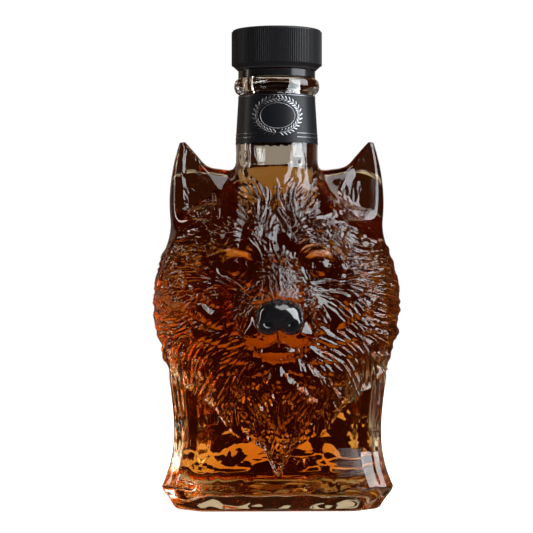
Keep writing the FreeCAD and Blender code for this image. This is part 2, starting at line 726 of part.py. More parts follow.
def cap_sleeve():
    blank = turned_body("sleeve_blank", [
        (sleeve_bore, cap_bottom),
        (sleeve_foot, cap_bottom),
        (sleeve_radius, bevel_height(sleeve_radius)),
        (sleeve_radius, sleeve_top),
        (ZERO, sleeve_top),
        (ZERO, sleeve_ceiling),
        (sleeve_bore, sleeve_ceiling),
    ])
    ridge = thread("sleeve_thread", sleeve_bore - s.cap_thread_depth + thread_half_width, cap_thread_start)
    return joined("cap_sleeve", [blank, ridge])


def cap_liner():
    radius = sleeve_bore - s.liner_gap
    return turned_body("cap_liner", [(ZERO, liner_bottom), (radius, liner_bottom),
                                     (radius, liner_top), (ZERO, liner_top)])


# Tamper band: a loose ring under the cap, with the stubs of the bridges that once held it

def tamper_band():
    body = turned_body("tamper_band", [(band_bore, band_bottom), (band_radius, band_bottom),
                                       (band_radius, band_top), (band_bore, band_top)])
    sketch = new_sketch(body, "stub_outline", "XY_Plane", band_top)
    inner = (band_bore + band_radius - s.stub_width) / 2
    x, half = inner.number, s.stub_width.number / 2
    corners = [(x, -half), (x + 2 * half, -half), (x + 2 * half, half), (x, half)]
    closed_loop(sketch, [FreeCAD.Vector(a, b) for a, b in corners])
    for line in (1, 3):
        sketch.addConstraint(Sketcher.Constraint("Symmetric", line, 1, line, 2, HORIZONTAL))
    dimension(sketch, "inner_side", inner, "DistanceX", *ORIGIN, 3, 1)
    dimension(sketch, "across", s.stub_width, "DistanceX", 0, 1, 0, 2)
    dimension(sketch, "along", s.stub_width, "DistanceY", 1, 1, 1, 2)
    doc.recompute()
    pad = body.newObject("PartDesign::Pad", "stub")
    pad.Profile = sketch
    bind(pad, {"Length": s.stub_height})
    doc.recompute()
    stubs = body.newObject("PartDesign::PolarPattern", "stubs")
    stubs.Originals = [pad]
    stubs.Axis = (sketch, ["N_Axis"])
    stubs.Angle = 360
    bind(stubs, {"Occurrences": s.stub_count})
    body.Tip = stubs
    return body


# Label: a paper sleeve on the tapered neck

def neck_label():
    inside = s.neck_radius + s.glue_line
    inside_top = inside - s.neck_narrowing * s.label_height / (s.label_height + s.label_edge)
    return turned_body("neck_label", [
        (inside, label_bottom),
        (inside + s.label_thickness, label_bottom),
        (inside_top + s.label_thickness, label_top),
        (inside_top, label_top),
    ])


# Build, check and write

nodes = [glass_body(), liquor(), neck_label(), tamper_band(), cap_shell(), cap_sleeve(), cap_liner()]
doc.recompute()
for item in doc.Objects:
    if "Invalid" in item.State or "Error" in item.State:
        raise RuntimeError(f"{item.Label} failed: {item.State}")
for node in nodes:
    if node.Shape.isNull() or not node.Shape.isValid() or len(node.Shape.Solids) != 1:
        raise RuntimeError(f"{node.Label} isn't one valid solid")

os.makedirs("parts", exist_ok=True)
for node in nodes:
    node.Shape.exportStep(f"parts/{node.Label}.step")
    box = node.Shape.BoundBox
    print(f"{node.Label}: {node.Shape.Volume / 1000:.1f} ml, z {box.ZMin:.2f} to {box.ZMax:.2f}")
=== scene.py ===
import math
import bpy
import numpy as np
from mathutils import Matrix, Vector


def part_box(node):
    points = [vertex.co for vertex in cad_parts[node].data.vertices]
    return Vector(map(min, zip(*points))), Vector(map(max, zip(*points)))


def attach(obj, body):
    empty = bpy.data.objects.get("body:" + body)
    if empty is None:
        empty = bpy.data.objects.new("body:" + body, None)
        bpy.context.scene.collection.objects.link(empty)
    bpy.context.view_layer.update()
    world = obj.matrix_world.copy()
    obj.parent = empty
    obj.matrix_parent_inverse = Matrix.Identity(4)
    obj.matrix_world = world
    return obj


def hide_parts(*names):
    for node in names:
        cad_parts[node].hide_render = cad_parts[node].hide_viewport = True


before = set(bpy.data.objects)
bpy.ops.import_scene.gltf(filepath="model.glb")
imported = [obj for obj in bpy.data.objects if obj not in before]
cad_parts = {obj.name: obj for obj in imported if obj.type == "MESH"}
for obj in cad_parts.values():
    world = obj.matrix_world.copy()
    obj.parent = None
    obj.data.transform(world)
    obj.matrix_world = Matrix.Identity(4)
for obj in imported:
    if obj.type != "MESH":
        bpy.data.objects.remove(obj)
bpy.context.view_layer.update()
mm = 0.001               # shapes are worked out in millimetres and written in metres
rng = np.random.default_rng(20261)


def nodeBox(node):
    low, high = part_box(node)
    return np.array(low) / mm, np.array(high) / mm


labelLow, labelHigh = nodeBox("neck_label")
bandLow, bandHigh = nodeBox("tamper_band")
linerLow = nodeBox("cap_liner")[0]
liquorTop = nodeBox("liquor")[1][2]

# head: egg-shaped lobes, mirrored where the side isn't 0
# side, y, z, half width, half depth, half height, softness of the join
headLobes = {
    "skull": (0, 2, 100, 54, 39.5, 48, 8),
    "core": (0, 0, 68, 37.8, 25.2, 52, 8),
    "cheek": (30, -3, 86, 25.3, 32.5, 35, 8),
    "ruff": (0, -15, 68, 38, 27, 46, 9),
    "earRoot": (27, 3, 142, 14, 9, 11, 6),
    "brow": (16, -29, 119, 13, 9.5, 7, 8),
    "bridge": (0, -37, 101, 10, 13, 12, 7),
    "muzzle": (0, -38, 88, 16.5, 23, 13.5, 8),
    "pad": (7.4, -48.5, 79.7, 9.8, 11, 7.2, 4),
    "jaw": (0, -40.5, 72.0, 10.4, 13.4, 4.9, 2.4),
    "nose": (0, -57.5, 88.2, 9.8, 8, 6.2, 2.2),
    "wing": (5.0, -59.5, 84.6, 4.9, 5.8, 4.6, 1.8),
}
innerLobes = ("skull", "core", "cheek", "ruff", "earRoot")      # the hollow stays plain behind the face
eyePlan = {"side": 18.3, "z": 108.2, "y": -29.7, "ball": 5.2, "socketY": -37.5, "socket": (9, 6, 6.6),
           "socketShift": (0.8, -0.6), "socketSoft": 4, "look": (0.42, -0.9, 0.05), "lid": 5.2,
           "lidOut": 1.9, "lidWall": 1.05, "lidTall": 1.2, "lidSoft": 0.5, "soft": 0.8}
earPlan = {"side": 29.5, "y": 3, "z": 119, "width": 16, "depth": 11.5, "length": 46.2, "lean": 13.7,
           "tip": 1.3, "taper": 1.8, "rim": 2.4, "rimSoft": 2, "soft": 5,
           "cup": 0.5, "cupLeast": 0.4, "cupShift": 1.2, "cupSlope": 0.8, "cupFrom": 0.3, "cupSoft": 4,
           "tuftFrom": (0.18, 0.28), "tuftTo": (0.5, 0.7), "tuftShift": 1, "tuftSide": (0.4, 0.6),
           "root": (124, 128), "rootSlope": 0.4, "rootSide": 34, "inside": (16, 20)}
bodyPlan = {"z": (10.5, 44, 76, 102), "width": (51.5, 46.8, 49.5, 42), "depth": (36, 33, 34.5, 28),
            "foot": (45.5, 30.5), "cut": (10.5, 9), "edge": 1.6, "topSoft": 6, "soft": 3}
# pairs: bead's gaps below and above, ring's height and bulge, edges outside and inside, steps out and down
neckPlan = {"radius": 18.7, "flare": 5.8, "flareLow": 138, "flareTop": 158, "root": 20, "soft": 5,
            "join": 160.2, "joinRise": 0.6, "bore": 14.2, "mouth": 12.2, "finish": 15.0, "top": 17.3,
            "bead": 2.2, "beadGaps": (0.8, 0.3), "ring": (1.6, 0.75), "ringLap": 0.25, "gap": 0.05,
            "step": 0.02, "stepEdges": (0.5, 0.4), "lipEdges": (0.8, 0.5), "mouthStep": (1, 5.9),
            "boreFrom": (4, 8), "columns": 104}
threadPlan = {"pitch": 4.233, "turns": 1.25, "depth": 1.2, "half": 0.86, "runIn": 0.04, "rise": 3.75,
              "reach": (1.2, 1.3), "rows": 0.28}
wallPlan = {"wall": 4.0, "sideWall": 9.0, "floor": 8.6, "cut": (20, 13), "earWall": 1.8, "pocket": 0.73,
            "boreFlare": 1, "crumple": 0.9, "ripple": ((0.33, 1.6, 0.21, 0), (0.41, 1.3, 0.17, 1)),
            "soft": 6, "floorSoft": 7, "pocketSoft": 4, "overlap": 0.25, "levelSoft": 0.8}


# distance fields, negative inside

def softMin(a, b, k):
    # the nearer of two shapes, with a rounded join about k wide
    share = np.maximum(k - np.abs(a - b), 0) / k
    return np.minimum(a, b) - share * share * k / 4


def softMax(a, b, k):
    return -softMin(-a, -b, k)


def eggField(p, centre, radii):
    # distance to an egg, close to true near its surface
    u = (p - np.array(centre)) / np.array(radii)
    reach = np.linalg.norm(u, axis=-1)
    slope = np.linalg.norm(u / np.array(radii), axis=-1)
    return reach * (reach - 1) / np.maximum(slope, 1e-9)


def mirrored(p):
    q = p.copy()
    q[..., 0] = np.abs(q[..., 0])
    return q


def lobeField(p, names):
    q = mirrored(p)
    away = None
    for side, y, z, width, depth, height, soft in (headLobes[name] for name in names):
        lobe = eggField(q, (side, y, z), (width, depth, height))
        if 0 < side < width:
            lobe = softMin(lobe, eggField(q, (-side, y, z), (width, depth, height)), soft)
        away = lobe if away is None else softMin(away, lobe, soft)
    return away


def headField(p):
    # lobes with sunk sockets, eyeballs and raised lids
    q, e = mirrored(p), eyePlan
    away = lobeField(p, headLobes)
    socket = (e["side"] + e["socketShift"][0], e["socketY"], e["z"] + e["socketShift"][1])
    away = softMax(away, -eggField(q, socket, e["socket"]), e["socketSoft"])
    rel = q - np.array((e["side"], e["y"], e["z"]))
    ball = np.linalg.norm(rel, axis=-1) - e["ball"]
    rel = rel * np.array((1, 1, e["lidTall"]))
    out = (rel * unit(np.array(e["look"]))).sum(-1)
    reach = np.sqrt(np.maximum((rel * rel).sum(-1) - out * out, 0))
    lid = np.hypot(reach - e["lid"], out - e["lidOut"]) - e["lidWall"]
    return softMin(away, softMin(ball, lid, e["lidSoft"]), e["soft"])


def earShape(p):
    # height up the ear, its half width and half depth there, and the way from its middle line
    e = earPlan
    q = mirrored(p)
    share = np.clip((q[..., 2] - e["z"]) / e["length"], 0, 1)
    full = 1 - share ** e["taper"]
    width = e["width"] * full + e["tip"]
    depth = e["depth"] * full + e["tip"]
    dx = q[..., 0] - e["side"] - e["lean"] * share
    dy = q[..., 1] - e["y"] * (1 - share / 2)
    return share, width, depth, dx, dy, q[..., 2]


def earField(p):
    e = earPlan
    _, width, depth, dx, dy, z = earShape(p)
    ring = (np.sqrt((dx / width) ** 2 + (dy / depth) ** 2) - 1) * np.minimum(width, depth)
    tipZ = e["z"] + e["length"]
    body = np.where(z > tipZ, np.hypot(np.maximum(ring, 0), z - tipZ), np.maximum(ring, e["z"] - z))
    cupWidth = np.maximum(width - e["rim"], e["cupLeast"])
    cup = np.sqrt(((dx + e["cupShift"]) / cupWidth) ** 2 + ((dy + depth) / (depth * e["cup"])) ** 2)
    cup = (cup - 1) * depth * e["cupSlope"]
    cup = softMax(cup, e["z"] + e["cupFrom"] * e["length"] - z, e["cupSoft"])
    return softMax(body, -cup, e["rimSoft"])


def sectionCurve(values):
    return np.polynomial.Polynomial.fit(bodyPlan["z"], values, 3)


widthCurve, depthCurve = sectionCurve(bodyPlan["width"]), sectionCurve(bodyPlan["depth"])


def facetField(p):
    # eight-sided body with a bevelled foot
    b = bodyPlan
    z = p[..., 2]
    share = np.clip(z / b["z"][0], -0.5, 1)
    rise = np.clip(z, b["z"][0], b["z"][-1])
    width = widthCurve(rise) - (b["width"][0] - b["foot"][0]) * (1 - share)
    depth = depthCurve(rise) - (b["depth"][0] - b["foot"][1]) * (1 - share)
    side = cutCorners(p, width, depth, b["cut"], b["edge"])
    return softMax(softMax(side, -z, b["edge"]), z - b["z"][-1], b["topSoft"])


def cutCorners(p, width, depth, cut, edge):
    dx, dy = np.abs(p[..., 0]) - width, np.abs(p[..., 1]) - depth
    corner = (dx * cut[1] + (dy + cut[1]) * cut[0]) / math.hypot(*cut)
    return softMax(softMax(dx, dy, edge), corner, edge)


def crossWaves(u, v, waves):
    # two sines, each swinging to and fro along the other's way: pitch, swing, its pitch and its shift
    (a, b, c, d), (e, f, g, h) = waves
    return np.sin(u * a + b * np.sin(v * c + d)) * np.sin(v * e + f * np.sin(u * g + h))


def hollowField(p):
    # hollow of the lower body, with thick corners, a crumpled back and a rounded floor
    b, w = bodyPlan, wallPlan
    x, y, z = p[..., 0], p[..., 1], p[..., 2]
    rise = np.clip(z, b["z"][0], b["z"][-1])
    width, depth = widthCurve(rise) - w["sideWall"], depthCurve(rise) - w["wall"]
    side = cutCorners(p, width, depth, w["cut"], w["soft"])
    side = side + w["crumple"] * crossWaves(x, z, w["ripple"]) * (y > 0)
    return softMax(softMax(side, w["floor"] - z, w["floorSoft"]), z - b["z"][-1], w["soft"])


def neckField(p, radius, flare):
    n = neckPlan
    z = p[..., 2]
    share = np.clip((n["flareTop"] - z) / (n["flareTop"] - n["flareLow"]), 0, 1)
    side = np.hypot(p[..., 0], p[..., 1]) - radius - flare * share ** 2
    return np.maximum(side, n["flareLow"] - n["root"] - z)


def outerField(p):
    n = neckPlan
    away = softMin(headField(p), facetField(p), bodyPlan["soft"])
    away = softMin(away, earField(p), earPlan["soft"])
    return softMin(away, neckField(p, n["radius"], n["flare"]), n["soft"])


def cavityField(p):
    n, w = neckPlan, wallPlan
    away = softMin(lobeField(p, innerLobes) + w["wall"], hollowField(p), w["soft"])
    above = p[..., 2] - earPlan["z"] - w["pocket"] * earPlan["length"]
    pocket = softMax(earField(p) + w["earWall"], above, w["soft"])
    away = softMin(away, pocket, w["pocketSoft"])
    return softMin(away, neckField(p, n["bore"], n["flare"] - w["boreFlare"]), w["soft"])


def gradient(field, p, step=0.05):
    out = np.empty_like(p)
    for axis in range(3):
        shift = np.zeros(3)
        shift[axis] = step
        out[:, axis] = field(p + shift) - field(p - shift)
    return out / (2 * step)


def project(field, p, rounds=2):
    # points moved onto the surface
    for _ in range(rounds):
        g = gradient(field, p)
        p = p - field(p)[:, None] * g / np.maximum((g * g).sum(1), 0.05)[:, None]
    return p


def unit(v):
    return v / np.maximum(np.linalg.norm(v, axis=-1, keepdims=True), 1e-9)


# skins

def skinOf(field, step, keep):
    # one point for each grid cell that the surface crosses, and a quad for each grid edge that it crosses
    axes = [np.arange(a, b + step, step) for a, b in zip(skinPlan["low"], skinPlan["high"])]
    shape = [len(a) for a in axes]
    values = np.empty(shape, np.float32)
    for i, x in enumerate(axes[0]):
        slab = np.stack(np.meshgrid([x], axes[1], axes[2], indexing="ij"), -1)[0]
        values[i] = field(slab)
    inside = values < 0
    cells = tuple(n - 1 for n in shape)
    total = np.zeros(cells + (3,), np.float32)
    count = np.zeros(cells, np.int16)
    corners = np.indices((2, 2, 2)).reshape(3, -1).T

    def corner(data, c):
        return data[c[0]:c[0] + cells[0], c[1]:c[1] + cells[1], c[2]:c[2] + cells[2]]

    for a in corners:
        for axis in range(3):
            if a[axis]:
                continue
            b = a.copy()
            b[axis] = 1
            va, vb = corner(values, a), corner(values, b)
            crossed = (va < 0) != (vb < 0)
            share = np.where(crossed, va / np.where(crossed, va - vb, 1), 0)
            for k in range(3):
                total[..., k] += np.where(crossed, a[k] + (share if k == axis else 0), 0)
            count += crossed
    active = count > 0
    ids = np.full(cells, -1, np.int64)
    ids[active] = np.arange(active.sum())
    origin = np.array([a[0] for a in axes])
    points = (np.argwhere(active) + total[active] / count[active][:, None]) * step + origin
    quads = []
    for axis in range(3):
        u, v = [k for k in range(3) if k != axis]
        first = np.moveaxis(inside, (axis, u, v), (0, 1, 2))
        grid = np.moveaxis(ids, (axis, u, v), (0, 1, 2))
        crossed = first[:-1, 1:-1, 1:-1] != first[1:, 1:-1, 1:-1]
        e, i, j = np.nonzero(crossed)
        place = np.empty((len(e), 3))
        place[:, axis], place[:, u], place[:, v] = axes[axis][e], axes[u][i + 1], axes[v][j + 1]
        wanted = keep(place)
        e, i, j = e[wanted], i[wanted], j[wanted]
        quad = [grid[e, i, j], grid[e, i + 1, j], grid[e, i + 1, j + 1], grid[e, i, j + 1]]
        quad = np.stack(quad, 1)
        turn = first[e, i + 1, j + 1] == (axis == 1)
        quad[turn] = quad[turn][:, ::-1]
        quads.append(quad)
    quads = np.concatenate(quads)
    used, flat = np.unique(quads, return_inverse=True)
    return points[used].astype(float), flat.reshape(-1, 4)


def halved(points, faces, wanted):
    # wanted quads into four, and the faces beside them take the new edge points
    quads = np.array([f for f in faces if len(f) == 4])
    others = [f for f in faces if len(f) != 4]
    chosen = wanted(points[quads].mean(1))
    pairs = np.stack([quads, np.roll(quads, -1, 1)], 2).reshape(-1, 2)
    edges, flat = np.unique(np.sort(pairs, 1), axis=0, return_inverse=True)
    flat = flat.reshape(-1, 4)
    split = np.zeros(len(edges), bool)
    split[flat[chosen]] = True
    middleId = np.cumsum(split) - 1 + len(points)
    middle = points[edges[split]].mean(1)
    fine = quads[chosen]
    m = middleId[flat[chosen]]
    c = np.arange(len(fine)) + len(points) + len(middle)
    faces = [np.stack([fine[:, k], m[:, k], c, m[:, k - 1]], 1) for k in range(4)]
    faces = np.concatenate(faces).tolist()
    faces += quads[~chosen & ~split[flat].any(1)].tolist()
    names = {tuple(e): int(k) for e, k in zip(edges[split].tolist(), middleId[split])}
    for corners in quads[~chosen & split[flat].any(1)].tolist() + others:
        ring = []
        for a, b in zip(corners, corners[1:] + corners[:1]):
            ring.append(a)
            edge = (min(a, b), max(a, b))
            if edge in names:
                ring.append(names[edge])
        faces.append(ring)
    return np.concatenate([points, middle, points[fine].mean(1)]), faces


def neighbours(faces):
    # each edge once, with the number of faces on it
    sizes = np.array([len(f) for f in faces])
    flat = np.concatenate([np.asarray(f) for f in faces])
    ends = np.cumsum(sizes)
    after = np.arange(len(flat)) + 1
    after[ends - 1] = ends - sizes
    pairs = np.sort(np.stack([flat, flat[after]], 1), 1)
    return np.unique(pairs, axis=0, return_counts=True)


def relaxed(values, edges, amount):
    # values drawn towards the mean of their neighbours
    degree = np.bincount(edges.ravel(), minlength=len(values)).astype(float)
    total = np.zeros_like(values)
    for k in range(values.shape[1]):
        total[:, k] = np.bincount(edges[:, 0], values[edges[:, 1], k], len(values))
        total[:, k] += np.bincount(edges[:, 1], values[edges[:, 0], k], len(values))
    return values + amount * (total / np.maximum(degree, 1)[:, None] - values)


print("stage: fields ready")

# glass skin, outside and inside

skinPlan = {"low": (-62.0, -72.0, -3.0), "high": (62.0, 48.0, 171.0), "step": 1.8, "innerStep": 3.2,
            "neckReach": 26, "earFrom": 112, "frontLow": 16, "frontSlope": 0.5, "frontTop": 148,
            "frontTilt": -0.3, "nearTilt": -0.1, "relax": 0.5, "most": 197000}


def belowJoin(place):
    # everything but the neck above the join, which is turned apart
    nearAxis = np.hypot(place[:, 0], place[:, 1]) < skinPlan["neckReach"]
    return ~(nearAxis & (place[:, 2] > neckPlan["join"]))


def smoothSkin(field, points, quads, rounds=2):
    # points spread evenly over the surface, with the open rim held
    edges, uses = neighbours(quads)
    loose = np.unique(edges[uses == 1])
    for _ in range(rounds):
        held = points[loose]
        points = project(field, relaxed(points, edges, skinPlan["relax"]), 1)
        points[loose] = held
    return points, loose


def isFacing(p, tilt):
    # on the wolf's face and ruff, as seen from the front
    s = skinPlan
    hem = s["frontLow"] + s["frontSlope"] * np.abs(p[:, 0])
    facing = unit(gradient(outerField, p))[:, 1] < tilt
    return facing & (p[:, 2] > hem) & (p[:, 2] < s["frontTop"])


def isFront(p):
    return isFacing(p, skinPlan["frontTilt"])


def isNear(p):
    s = skinPlan
    ear = (p[:, 2] > s["earFrom"]) & (np.hypot(p[:, 0], p[:, 1]) > s["neckReach"])
    return isFacing(p, s["nearTilt"]) | ear


def pointArea(points, faces):
    # part of the surface that each point stands for
    size = np.array([len(f) for f in faces])
    span = np.linalg.norm(points[[f[0] for f in faces]] - points[[f[2] for f in faces]], axis=1)
    corners = np.concatenate([np.asarray(f) for f in faces])
    return np.bincount(corners, np.repeat(span ** 2 / 2 / size, size), len(points))


outerPoints, outerFaces = skinOf(outerField, skinPlan["step"], belowJoin)
outerPoints, _ = smoothSkin(outerField, outerPoints, outerFaces)
outerPoints, outerFaces = halved(outerPoints, outerFaces.tolist(), isNear)
outerPoints, _ = smoothSkin(outerField, outerPoints, outerFaces, 1)
outerPoints, outerFaces = halved(outerPoints, outerFaces, isFront)
outerPoints, outerRim = smoothSkin(outerField, outerPoints, outerFaces)
outerNormals = unit(gradient(outerField, outerPoints))
outerArea = pointArea(outerPoints, outerFaces)
print("stage: outer skin", len(outerPoints), "points")

innerPoints, innerQuads = skinOf(cavityField, skinPlan["innerStep"], belowJoin)
innerPoints, innerRim = smoothSkin(cavityField, innerPoints, innerQuads)
innerQuads = innerQuads[:, ::-1]
print("stage: inner skin", len(innerPoints), "points")

# fur: rings of mane tufts, tapered locks traced along the lie of the coat, and fine strands over them

coatPlan = {                     # edges of the coat, each as the range over which it comes or goes
    "eye": (7.2, 9), "crown": (141, 145), "neck": (18, 20.5), "earSide": (43, 49), "earBack": (106, 116),
    "lips": ((18.5, 78.5, 14), (0.95, 1.1), (-47, -42)), "nose": ((12.5, 87, 9), (0.9, 1.05), (-54, -50)),
    "hemSide": (0, 3, 6, 20, 29, 41, 50), "hem": (17, 22, 29, 35.5, 48, 56, 66), "hemSoft": 1.5,
    "side": (43, 47), "sideHem": (58, 66), "back": (8, 20), "backHem": (64, 70), "earHair": 0.9,
}
liePlan = {                      # which way the coat lies
    "middle": 93, "part": 0.6, "overEyes": (98, 114), "browBend": 0.75, "crown": (120, 132),
    "crownLoss": 0.6, "cheek": (70, 98), "cheekBend": 0.3, "bendSide": (5, 22), "chest": (62, 30),
    "gather": 0.9, "low": (98, 70), "drop": 0.35, "eyeReach": 190, "flank": (30, 54), "flankBack": 0.55,
    "behind": (4, 22), "backSpread": 0.012, "earLean": (0.3, 0.06),
}
furPlan = {"centre": (0, -50, 90), "near": 15, "reach": 40, "earLoss": 0.8, "coat": -0.5,
           "swayLong": (0.17, 0.06), "swayShort": (-0.07, 0.19), "swayShare": 0.7, "swayShift": 2,
           "relax": 0.15}
manePlan = {"z": 93, "start": 21, "step": 9, "length": 23, "height": 2.0, "sink": 1.4, "rings": 5,
            "tufts": (18, 5), "curl": 0.35, "bare": (-14, -2), "taper": (0.4, 1.05), "swell": (-0.1, 0.45)}
lockPlan = {"width": (3.0, 5.5), "length": (14, 32), "height": (0.45, 1.0), "cover": 2.0, "least": 0.4,
            "vary": (0.75, 1.2), "varyHeight": (0.65, 1.15), "wild": 0.15, "curl": 0.5, "swing": 1.3,
            "steps": 17, "hang": 3, "root": 0.25, "taper": (0.35, 1.05), "taperPower": 0.8,
            "swell": (-0.1, 0.45), "lean": 0.6, "sharp": 2.0, "cell": 5.0}
strandPlan = {"waves": 36, "fine": (2.0, 3.0), "coarse": (4.5, 6.0), "reach": 12.0, "steps": 13,
              "curl": 0.35, "height": (0.24, 0.56), "sharp": 1.3, "facing": (0.2, 0.45), "top": (148, 142),
              "onLock": (0.1, 0.4)}


def ramp(x, a, b):
    # 0 at a and 1 at b, which may lie to either side
    t = np.clip((x - a) / (b - a), 0, 1)
    return t * t * (3 - 2 * t)


def lieOfCoat(p, normal):
    # out from the bridge, round the eyes, down the cheeks and ruff, and back along the sides
    c = liePlan
    side = np.where(p[:, 0] < 0, -1.0, 1.0)
    x, z = np.abs(p[:, 0]), p[:, 2]
    away = unit(np.stack([x + c["part"], z - c["middle"]], 1))
    overEyes = ramp(z, *c["overEyes"])
    brow = c["browBend"] * overEyes * (1 - c["crownLoss"] * ramp(z, *c["crown"]))
    cheek = c["cheekBend"] * ramp(z, *c["cheek"]) * (1 - overEyes)
    bend = -(brow + cheek) * ramp(x, *c["bendSide"])
    cos, sin = np.cos(bend), np.sin(bend)
    away = np.stack([away[:, 0] * cos - away[:, 1] * sin, away[:, 0] * sin + away[:, 1] * cos], 1)
    away[:, 0] -= c["gather"] * ramp(z, *c["chest"]) * x / c["chest"][1]
    away[:, 1] -= c["drop"] * ramp(z, *c["low"])
    e = np.stack([x - eyePlan["side"], z - eyePlan["z"]], 1)
    ring = np.stack([-e[:, 1], e[:, 0]], 1)
    ring *= np.sign((ring * away).sum(1) + 1e-6)[:, None]
    near = np.exp(-((e * e).sum(1)) / c["eyeReach"])[:, None]
    away = unit(away) * (1 - near) + unit(ring) * near
    front = np.stack([away[:, 0] * side, c["flankBack"] * ramp(x, *c["flank"]), away[:, 1]], 1)
    back = np.stack([c["backSpread"] * p[:, 0], np.zeros(len(p)), -np.ones(len(p))], 1)
    behind = ramp(p[:, 1], *c["behind"])[:, None]
    flow = front * (1 - behind) + back * behind
    lean = c["earLean"][0] + c["earLean"][1] * (x - earPlan["side"])
    upEar = np.stack([side * lean, np.zeros(len(p)), np.ones(len(p))], 1)
    inEar = earTuft(p)[:, None]
    flow = flow * (1 - inEar) + upEar * inEar
    return unit(flow - (flow * normal).sum(1)[:, None] * normal)


def earTuft(p):
    # 1 in the lower part of the ear's cup, where hair stands
    e = earPlan
    share, width, _, dx, dy, _ = earShape(p)
    tuft = ramp(share, *e["tuftFrom"]) * (1 - ramp(share, *e["tuftTo"]))
    tuft = tuft * (1 - ramp(np.abs(dx + e["tuftShift"]) / width, *e["tuftSide"]))
    return tuft * (dy < 0)


def earZone(p):
    # 1 on the ears, which stay smooth outside their cups
    e = earPlan
    x, z = np.abs(p[:, 0]), p[:, 2]
    return ramp(z - e["rootSlope"] * (e["rootSide"] - x), *e["root"]) * ramp(x, *e["inside"])


def hemLine(x):
    # lower edge of the ruff, a V with a narrow tip in front
    return np.interp(x, coatPlan["hemSide"], coatPlan["hem"])


def furAmount(p):
    # 1 where the coat is, 0 on the lips, nose, eyes, ears, neck and lower panels
    c = coatPlan
    x, y, z = np.abs(p[:, 0]), p[:, 1], p[:, 2]

    def offOval(oval, edge, depth):
        half, middle, tall = oval
        return ramp(np.hypot(x / half, (z - middle) / tall), *edge) + ramp(y, *depth)

    eye = ramp(np.hypot(x - eyePlan["side"], z - eyePlan["z"]), *c["eye"]) + (y > 0)
    lips = offOval(*c["lips"])
    nose = offOval(*c["nose"])
    frontHem = ramp(z, hemLine(x) - c["hemSoft"], hemLine(x) + c["hemSoft"])
    isBack = ramp(y, *c["back"])
    isSide = ramp(x, *c["side"])
    hemAll = (frontHem * (1 - isSide) + ramp(z, *c["sideHem"]) * isSide) * (1 - isBack)
    hemAll = hemAll + ramp(z, *c["backHem"]) * isBack
    crown = 1 - ramp(z, *c["crown"])
    neck = ramp(np.hypot(p[:, 0], y), *c["neck"]) + (z < neckPlan["flareLow"])
    ear = (1 - earZone(p)) * (1 - ramp(x, *c["earSide"]) * ramp(z, *c["earBack"]))
    parts = [np.clip(a, 0, 1) for a in (eye, lips, nose, hemAll, crown, neck, ear)]
    return np.maximum(np.prod(parts, axis=0), c["earHair"] * earTuft(p))


def maneRelief(p):
    # rings of pointed tufts round the face, each ring over the roots of the next, as in the solids
    m = manePlan
    x, rise = np.abs(p[:, 0]), p[:, 2] - m["z"]
    reach, turn = np.hypot(x, rise), np.arctan2(x, -rise) / (2 * math.pi)
    relief = np.zeros(len(p))
    for ring in range(m["rings"]):
        along = (reach - m["start"] - ring * m["step"]) / m["length"]
        tufts = m["tufts"][0] + ring * m["tufts"][1]
        place = turn * tufts + ring / 2 + m["curl"] * np.sin(2 * math.pi * along + ring)
        off = 2 * np.abs(place - np.round(place))
        width = np.maximum(1 - ramp(along, *m["taper"]), 1e-3)
        height = ramp(along, *m["swell"]) * np.clip(1 - (off / width) ** 2, 0, 1)
        relief = np.maximum(relief, np.where((along > 0) & (along < 1), height, 0))
    eye = np.hypot(x - eyePlan["side"], p[:, 2] - eyePlan["z"])
    coat = ramp(eye, eyePlan["ball"], 2 * eyePlan["ball"]) * (1 - ramp(p[:, 1], *m["bare"]))
    coat *= ramp(reach, m["start"], m["start"] + m["step"])
    return coat * (m["height"] * relief - m["sink"])


def furSize(p):
    # 0 close to the nose, where the hair is short, to 1 far from it
    f = furPlan
    far = np.linalg.norm(p - np.array(f["centre"]), axis=1)
    return ramp(far, f["near"], f["near"] + f["reach"]) * (1 - f["earLoss"] * earTuft(p))


def swayOf(p):
    # slow bends of the coat to left and right
    f = furPlan
    x, z = np.abs(p[:, 0]), p[:, 2]
    (a, b), (c, d) = f["swayLong"], f["swayShort"]
    return np.sin(x * a + z * b) + f["swayShare"] * np.sin(x * c + z * d + f["swayShift"])


def combed(p, normal, turn):
    # the lie of the coat, turned aside
    lie = lieOfCoat(p, normal)
    turn = turn * np.where(p[:, 0] < 0, -1, 1)
    return lie * np.cos(turn)[:, None] + np.cross(normal, lie) * np.sin(turn)[:, None]


def strandRelief(p, normal, lengths, spread):
    # a random ripple, averaged along the lie of the coat, leaves only fine strands
    s = strandPlan
    ways = unit(rng.normal(0, 1, (s["waves"], 3)) * spread)
    waves = ways * 2 * math.pi / rng.uniform(*lengths, (s["waves"], 1))
    phase = rng.uniform(0, 2 * math.pi, s["waves"])
    total = np.sin(p @ waves.T + phase).sum(1)
    for way in (-1, 1):
        q = p
        for _ in range(s["steps"]):
            q = q + way * s["reach"] / s["steps"] * combed(q, normal, s["curl"] * swayOf(q))
            total += np.sin(q @ waves.T + phase).sum(1)
    return np.tanh(s["sharp"] * total / total.std())


